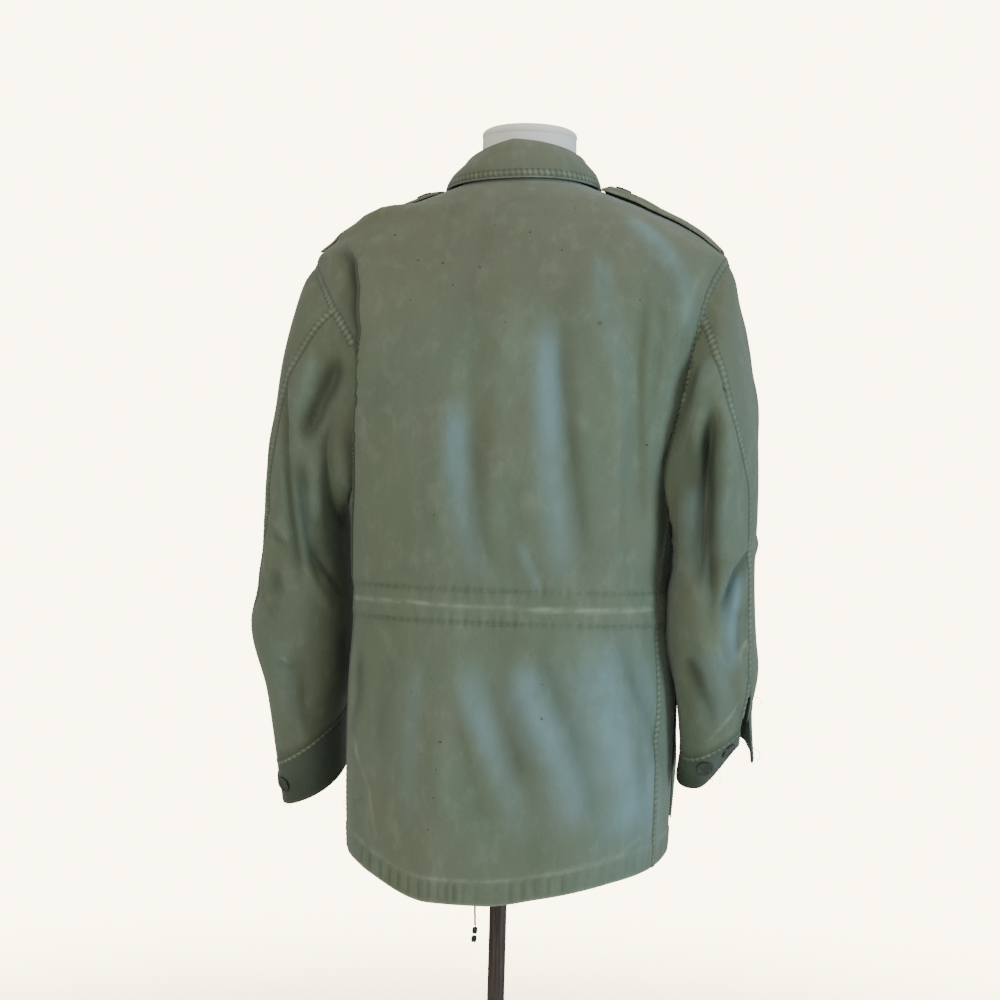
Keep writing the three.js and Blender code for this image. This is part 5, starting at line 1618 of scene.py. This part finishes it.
def makeStitches(group):  # every stitch of a group, as one mesh
    points, faces, start = [], [], 0
    for spots, normals in stitchSpots[group]:
        along = unit(np.gradient(spots, axis=0))
        side = unit(np.cross(normals, along))
        half, r = stitch["length"] / 2, stitch["radius"]
        corners = [along * -half - normals * 0.3, side * r, normals * r, side * -r, normals * -r, along * half - normals * 0.3]
        each = np.stack([spots + c for c in corners], 1)
        points.append(each.reshape(-1, 3))
        shell = np.array([(0, 2, 1), (0, 3, 2), (0, 4, 3), (0, 1, 4), (5, 1, 2), (5, 2, 3), (5, 3, 4), (5, 4, 1)])
        faces.append((shell[None] + (start + 6 * np.arange(len(spots)))[:, None, None]).reshape(-1, 3))
        start += 6 * len(spots)
    made = newPiece(group + "Stitches", np.concatenate(points) + np.array([0, bodyY, 0]), np.concatenate(faces), threadFinish, 80)
    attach(made, "root")
    return made


def edgeRows(first, last, column):  # a run of the back panel's edge
    return outerGrids["back"][first:last, column]


def insetLoop(grid, inset, closed=(True, True, True, True)):  # a line inside a patch's edge: low, right, top, left
    rows, cols = grid.shape[:2]
    across = np.linalg.norm(np.diff(grid[rows // 2], axis=0), axis=1).sum()
    up = np.linalg.norm(np.diff(grid[:, cols // 2], axis=0), axis=1).sum()
    i, j = int(round(inset / up * (rows - 1))), int(round(inset / across * (cols - 1)))
    i, j = max(i, 1), max(j, 1)
    sides = [grid[i, j : cols - j], grid[i : rows - i, cols - 1 - j], grid[rows - 1 - i, j : cols - j][::-1], grid[i : rows - i, j][::-1]]
    return [side for side, wanted in zip(sides, closed) if wanted]


def tubeRings(path, radius, sides=14, twist=0.0, relief=0.0):
    path = np.asarray(path, float)
    tangents = unit(np.gradient(path, axis=0))
    side = unit(np.cross(tangents, np.array([0.12, 1, 0.07])))
    other = np.cross(tangents, side)
    turn = np.linspace(0, 2 * np.pi, sides, endpoint=False)[None, :]
    along = np.arange(len(path))[:, None] * twist
    r = radius + relief * np.cos(3 * turn + along)
    return path[:, None] + side[:, None] * (np.cos(turn) * r)[..., None] + other[:, None] * (np.sin(turn) * r)[..., None]


# Small marks and loose threads, in pixels of the photograph
darnPlace = (600, 323)
speckPlaces = [
    (395, 235, 1.4), (418, 260, 1.1), (443, 263, 1.3), (453, 285, 1), (480, 267, 1.1), (530, 232, 1.2), (495, 225, 0.9),
    (600, 323, 1), (440, 742, 1.4), (647, 445, 1.2), (433, 798, 0.9), (436, 770, 0.8), (428, 830, 0.9), (410, 300, 0.9),
    (562, 250, 0.9), (505, 322, 0.8), (434, 515, 0.9), (640, 300, 0.9), (612, 235, 0.8), (575, 208, 0.8),
]
frayPlaces = [
    [(292, 799), (289, 805), (294, 809)], [(283, 797), (281, 803), (286, 806)], [(720, 772), (721, 779), (719, 785)],
    [(756, 752), (760, 757), (757, 762)], [(757, 697), (761, 700), (762, 706)], [(714, 776), (712, 781), (714, 784)],
    [(405, 884), (407, 889), (404, 892)], [(512, 900), (513, 905), (516, 907)], [(646, 862), (650, 866), (648, 870)],
    [(345, 800), (342, 804), (345, 808)], [(747, 700), (744, 704), (746, 709)],
]


def makeSpecks(bed):
    places = np.array([(x, y) for x, y, _ in speckPlaces])
    spots, normals = layOn(bed, seenOn(bed, places))
    points, faces = [], []
    for i, (spot, normal) in enumerate(zip(spots, normals)):
        across = unit(np.cross(normal, np.array([0.1, 0, 1.0])))
        turn = np.linspace(0, 2 * np.pi, 9, endpoint=False)[:, None]
        r = speckPlaces[i][2] * (1 + 0.25 * np.sin(2 * turn + i))
        rim = spot + r * (across * np.cos(turn) + 0.8 * np.cross(normal, across) * np.sin(turn))
        points += [spot + normal * 0.35, *(rim + normal * 0.12), *(rim * 1.0 - normal * 0.5)]
        k = 19 * i
        for j in range(9):
            a, b = k + 1 + j, k + 1 + (j + 1) % 9
            faces += [(k, a, b), (b, a, a + 9), (b, a + 9, b + 9)]
    made = newPiece("specks", np.array(points) + np.array([0, bodyY, 0]), faces, cordFinish, 80)
    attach(made, "root")


def makeFrays(bed):
    pieces = []
    for i, route in enumerate(frayPlaces):
        start = seenOn(bed, route[:1])[0]
        eye, way = sight(*route[0])
        depth = float(np.dot(start - np.array(eye), np.array(way)))
        path = [start]
        for place in route[1:]:
            eye, way = sight(*place)
            path.append(np.array(eye) + np.array(way) * (depth + 0.6 * len(path)))
        pieces.append(ringPiece(f"fray{i}", tubeRings(through(path, 14), 0.22, 6), threadFinish))
    bpy.ops.object.select_all(action="DESELECT")
    for piece in pieces:
        piece.select_set(True)
    bpy.context.view_layer.objects.active = pieces[0]
    bpy.ops.object.join()
    pieces[0].name = "frays"
    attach(pieces[0], "root")


def makeSeams():
    bodyBed = bedOf("back", "front_left", "front_right")
    skirtEnd, armholeEnd = panelRows["skirt"], panelRows["skirt"] + panelRows["armhole"]
    for column, label in ((0, "Left"), (-1, "Right")):
        addStrip("sideSeam" + label, "body", bodyBed, edgeRows(0, skirtEnd + 1, column), seed=3 - column)
        addStrip("shoulderSeam" + label, "body", bodyBed, edgeRows(armholeEnd, None, column), seed=7 - column)
    for name, spec in sleeves.items():
        label = name.capitalize()
        under, top = f"sleeve_{name}_under", f"sleeve_{name}_top"
        sleeveBed = bedOf(under, top)
        bothBed = bedOf(under, top, "back", "front_left", "front_right")
        for part, (first, last) in armholeRuns[name].items():
            ring = armholePoint(np.radians(np.linspace(first, last, 200)), spec["side"])
            addStrip("armholeSeam" + label + part, "sleeves", bothBed, ring, 10, 1, seed=13)
        backSeam = (outerGrids[under][:, 0] + outerGrids[top][:, -1]) / 2
        seen = seenOn(bothBed, backSeamPlaces[name])
        backSeam = np.concatenate([seen, backSeam[backSeam[:, 2] < seen[-1, 2] - 85][4::8]])
        frontSeam = (outerGrids[under][:, -1] + outerGrids[top][:, 0]) / 2
        addStrip("backSeam" + label, "sleeves", sleeveBed, through(backSeam, 260), 10, seed=17)
        addStrip("frontSeam" + label, "sleeves", sleeveBed, frontSeam[2:], 9, seed=19)
        cuffBed = bedOf(f"cuff_{name}")
        turn = np.radians(np.linspace(spec["cuffFrom"] + 2, spec["cuffTo"] - 2, 200))
        top = cuffPoint(name, turn, 0.02 + 0 * turn, cuff["thickness"] / 2)
        addStrip("cuffSeam" + label, "sleeves", cuffBed, top, 6, 0.8, seed=29, rows=(0.6,))
        for line in insetLoop(outerGrids[f"cuff_{name}"], 3):
            sewRow("trim", cuffBed, line)
    angle = np.linspace(-math.pi / 2 + 0.16, 1.5 * math.pi - 0.16, 900)
    for z in (waistZ + 17, waistZ - 17):
        sewRow("body", bodyBed, bodyPoint(angle, z + 1.2 * wander(angle, 14, 3)))
    sewRow("body", bodyBed, bodyPoint(angle, hemHeight(angle) + hemBand["height"] - 1))
    collarBed = bedOf("collar")
    edge = outerGrids["collar"]
    low, upper = edge[-1, 4:-4], edge[-6, 4:-4]
    away = np.linalg.norm(upper - low, axis=-1)[:, None]
    addStrip("collarEdge", "trim", collarBed, low + (upper - low) * 5.6 / away, 8, 0.45, seed=23)
    for spec in straps:
        bed = bedOf(spec["name"])
        for line in insetLoop(outerGrids[spec["name"]], 3, (False, True, True, True)):
            sewRow("trim", bed, line)
    for spec in pockets:
        bag, flap = spec["name"], spec["name"] + "_flap"
        for line in insetLoop(outerGrids[bag], 3, (True, True, False, True)):
            sewRow("trim", bedOf(bag), line)
        for line in insetLoop(outerGrids[flap], 5):
            sewRow("trim", bedOf(flap), line)
    for line in insetLoop(outerGrids["fly_placket"], 5, (False, True, False, True)):
        sewRow("trim", bedOf("fly_placket"), line)
    (darn,), (facing,) = layOn(bodyBed, seenOn(bodyBed, [darnPlace]))
    across = unit(np.cross(facing, np.array([0, 0, 1.0])))
    turn = np.linspace(0, 2 * np.pi, 15)[:, None]
    ring = darn + 2.3 * (across * np.cos(turn) + np.cross(facing, across) * np.sin(turn))
    spots, normals = layOn(bodyBed, ring)
    stitchSpots["body"].append((spots + normals * 0.25, normals))
    for group in stitchSpots:
        makeStitches(group)
    makeSpecks(bodyBed)
    makeFrays(treeOf([outerGrids[n] for n in ("cuff_right", "cuff_left", "back", "sleeve_right_under")]))


makeSeams()
print("seams sewn")


# The hem's drawcord

cord = dict(diameter=2.6, angle=295, length=130, knotLength=10, knotRadius=4.4)
cordRoute = [(0, 0, 0), (0.6, 0.5, 0.12), (1.6, 1, 0.28), (2.2, 1.6, 0.45), (1.8, 2, 0.62), (0.6, 2.2, 0.8), (-0.6, 2.4, 1)]


def makeCord():
    angle = np.array(math.radians(cord["angle"]))
    z = hemHeight(angle) + 8
    base = bodyBase(angle, z) + bodyNormal(angle, z) * foldsAt(angle, z)
    start = base - bodyNormal(angle, z) * (wall + cord["diameter"] / 2 + 0.8)
    points = [start + np.array([x, y, -down * cord["length"]]) for x, y, down in cordRoute]
    path = through(points, 90)
    line = ringPiece("drawcord", tubeRings(path, cord["diameter"] / 2 - 0.12, 14, 0.9, 0.12), cordFinish)
    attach(line, "root")
    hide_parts("hem_drawcord")
    for k in range(2):
        drop = 0.4 + cord["knotLength"] / 2 + k * (cord["knotLength"] + 0.3)
        middle = path[-1] + np.array([k * 0.8, 0, -drop])
        t = np.linspace(0, 2 * np.pi, 120)
        loop = np.stack([
            1.05 * (np.sin(t) + 1.15 * np.sin(2 * t)),
            1.05 * (np.cos(t) - 1.15 * np.cos(2 * t)),
            -2.9 * np.sin(3 * t) / 1.0,
        ], -1)
        knot = ringPiece(f"drawcordKnot{k + 1}", tubeRings(middle + loop, 1.35, 12, 0.8, 0.1), cordFinish)
        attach(knot, "root")
        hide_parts(f"drawcord_knot_{k + 1}")
    world = (path + np.array([0, bodyY, 0])) * mm
    return line


cordPiece = makeCord()
print("drawcord made")


# The dress form

form = dict(bottomZ=722, neckRadius=53, neckTopZ=1456, neckX=-1, neckY=-31, columns=120)
formClearance = [
    dict(z=z, gap=g)
    for z, g in [(722, 26), (800, 18), (938, 34), (1045, 24), (1200, 16), (1290, 13), (1330, 4), (1352, 1.3), (1402, 3.5)]
]
formLevels = (722, 723, 726, 732, 745, 765, 790, 815, 840, 865, 890, 914, 938, 965, 990, 1018, 1045, 1075,
              1100, 1128, 1155, 1180, 1205, 1225, 1245, 1260, 1275, 1287, 1297)
formYoke = np.linspace(0, 1, 16)
formNeck = [(0.02, 0.55), (0.12, 0.75), (0.2, 0.87), (0.3, 0.95), (0.45, 0.99), (0.6, 1), (0.8, 1), (1, 1)]


def formPoint(angle, z):
    gap = columnOf(formClearance, "z", "gap", z)
    rounding = 14 * (1 - smooth(form["bottomZ"], form["bottomZ"] + 24, z)) ** 2
    p = bodyBase(angle, z) - bodyNormal(angle, z) * (wall + gap + rounding)[..., None]
    p[..., 2] = np.where(z < 1300, z, p[..., 2])
    return p


def neckPoint(angle, radius, z):
    return np.stack([form["neckX"] + radius * np.cos(angle), form["neckY"] + radius * 0.98 * np.sin(angle), z + 0 * angle], -1)


def makeForm():
    angle = np.linspace(0, 2 * np.pi, form["columns"], endpoint=False)
    rings = [formPoint(angle, z + 0 * angle) for z in formLevels]
    top = neckHeight(angle)
    rings += [formPoint(angle, lerp(shoulderTipZ, top, share)) for share in formYoke]
    low = formPoint(angle, top)
    for share, blend in formNeck:
        z = lerp(low[:, 2], form["neckTopZ"], share)
        flat = low.copy()
        flat[:, 2] = z
        rings.append(lerp(flat, neckPoint(angle, form["neckRadius"], z), blend))
    torso = ringPiece("formTorso", rings, formFinish, sharpAt=60)
    capTop, r = form["neckTopZ"] + 0.3, form["neckRadius"]
    profile = [(0, r - 0.4), (0.4, r), (3, r + 0.6), (5.5, r + 0.2), (8, r - 2), (9.6, r - 5), (10.5, r - 9), (11.2, r - 16), (11.5, r - 24)]
    cap = ringPiece("formNeckCap", [neckPoint(angle, radius, capTop + up) for up, radius in profile], formFinish)
    for piece, node in ((torso, "form_torso"), (cap, "form_neck_cap")):
        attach(piece, "root")
        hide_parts(node)
    return torso, cap


formPieces = makeForm()
for node in ("stand_foot", "stand_boss", "stand_plate", "stand_pole"):
    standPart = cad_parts[node]
    standPart.data.materials.clear()
    standPart.data.materials.append(woodFinish)
print("form and stand made")


# Floor, light and air

stage = dict(radius=3.2, fade=(0.9, 2.6), floor=(0.86, 0.83, 0.78, 1), air=(1.0, 0.86, 0.58, 1))


def makeStage():
    bpy.ops.object.select_all(action="DESELECT")
    bpy.ops.mesh.primitive_circle_add(vertices=96, radius=stage["radius"], fill_type="NGON", location=(0, 0, 0))
    floor = bpy.context.active_object
    floor.name = "studioFloor"
    f = Finish("studioFloor")
    place = f.node("ShaderNodeTexCoord", None, None, 3)
    away = f.node("ShaderNodeVectorMath", {"operation": "LENGTH"}, {0: place}, 1)
    fade = 1 - f.step(away, *stage["fade"])
    floor.data.materials.append(f.close({"Base Color": stage["floor"], "Roughness": 0.9, "Alpha": fade}))
    world = bpy.context.scene.world or bpy.data.worlds.new("air")
    bpy.context.scene.world = world
    world.use_nodes = True
    nodes, links = world.node_tree.nodes, world.node_tree.links
    nodes.clear()
    seen, light = nodes.new("ShaderNodeBackground"), nodes.new("ShaderNodeBackground")
    seen.inputs["Color"].default_value = stage["air"]
    seen.inputs["Strength"].default_value = 10
    light.inputs["Color"].default_value = (1.0, 0.97, 0.92, 1)
    light.inputs["Strength"].default_value = 0.38
    path, mix, out = nodes.new("ShaderNodeLightPath"), nodes.new("ShaderNodeMixShader"), nodes.new("ShaderNodeOutputWorld")
    links.new(path.outputs["Is Camera Ray"], mix.inputs[0])
    links.new(light.outputs[0], mix.inputs[1])
    links.new(seen.outputs[0], mix.inputs[2])
    links.new(mix.outputs[0], out.inputs["Surface"])


lampColumns = ("name", "place", "size", "power", "colour")
lamps = [
    dict(zip(lampColumns, row))
    for row in [
        ("windowCool", (-2.7, 0.9, 1.2), 0.8, 52, (0.62, 0.84, 1.0)),
        ("roomWarm", (1.1, 2.9, 1.5), 1.2, 36, (1.0, 0.96, 0.86)),
        ("topSoft", (-0.2, 0.3, 3.4), 1.8, 20, (1.0, 0.95, 0.86)),
        ("frontFill", (0.6, -2.6, 1.8), 2.0, 20, (1.0, 0.97, 0.92)),
    ]
]


def makeLamps():
    for spec in lamps:
        data = bpy.data.lights.new(spec["name"], "AREA")
        data.shape = "SQUARE"
        data.size, data.energy, data.color = spec["size"], spec["power"], spec["colour"]
        lamp = bpy.data.objects.new(spec["name"], data)
        bpy.context.scene.collection.objects.link(lamp)
        lamp.location = spec["place"]
        lamp.rotation_euler = (Vector((0, 0, 1.0)) - Vector(spec["place"])).to_track_quat("-Z", "Y").to_euler()


makeStage()
makeLamps()
print("stage made")
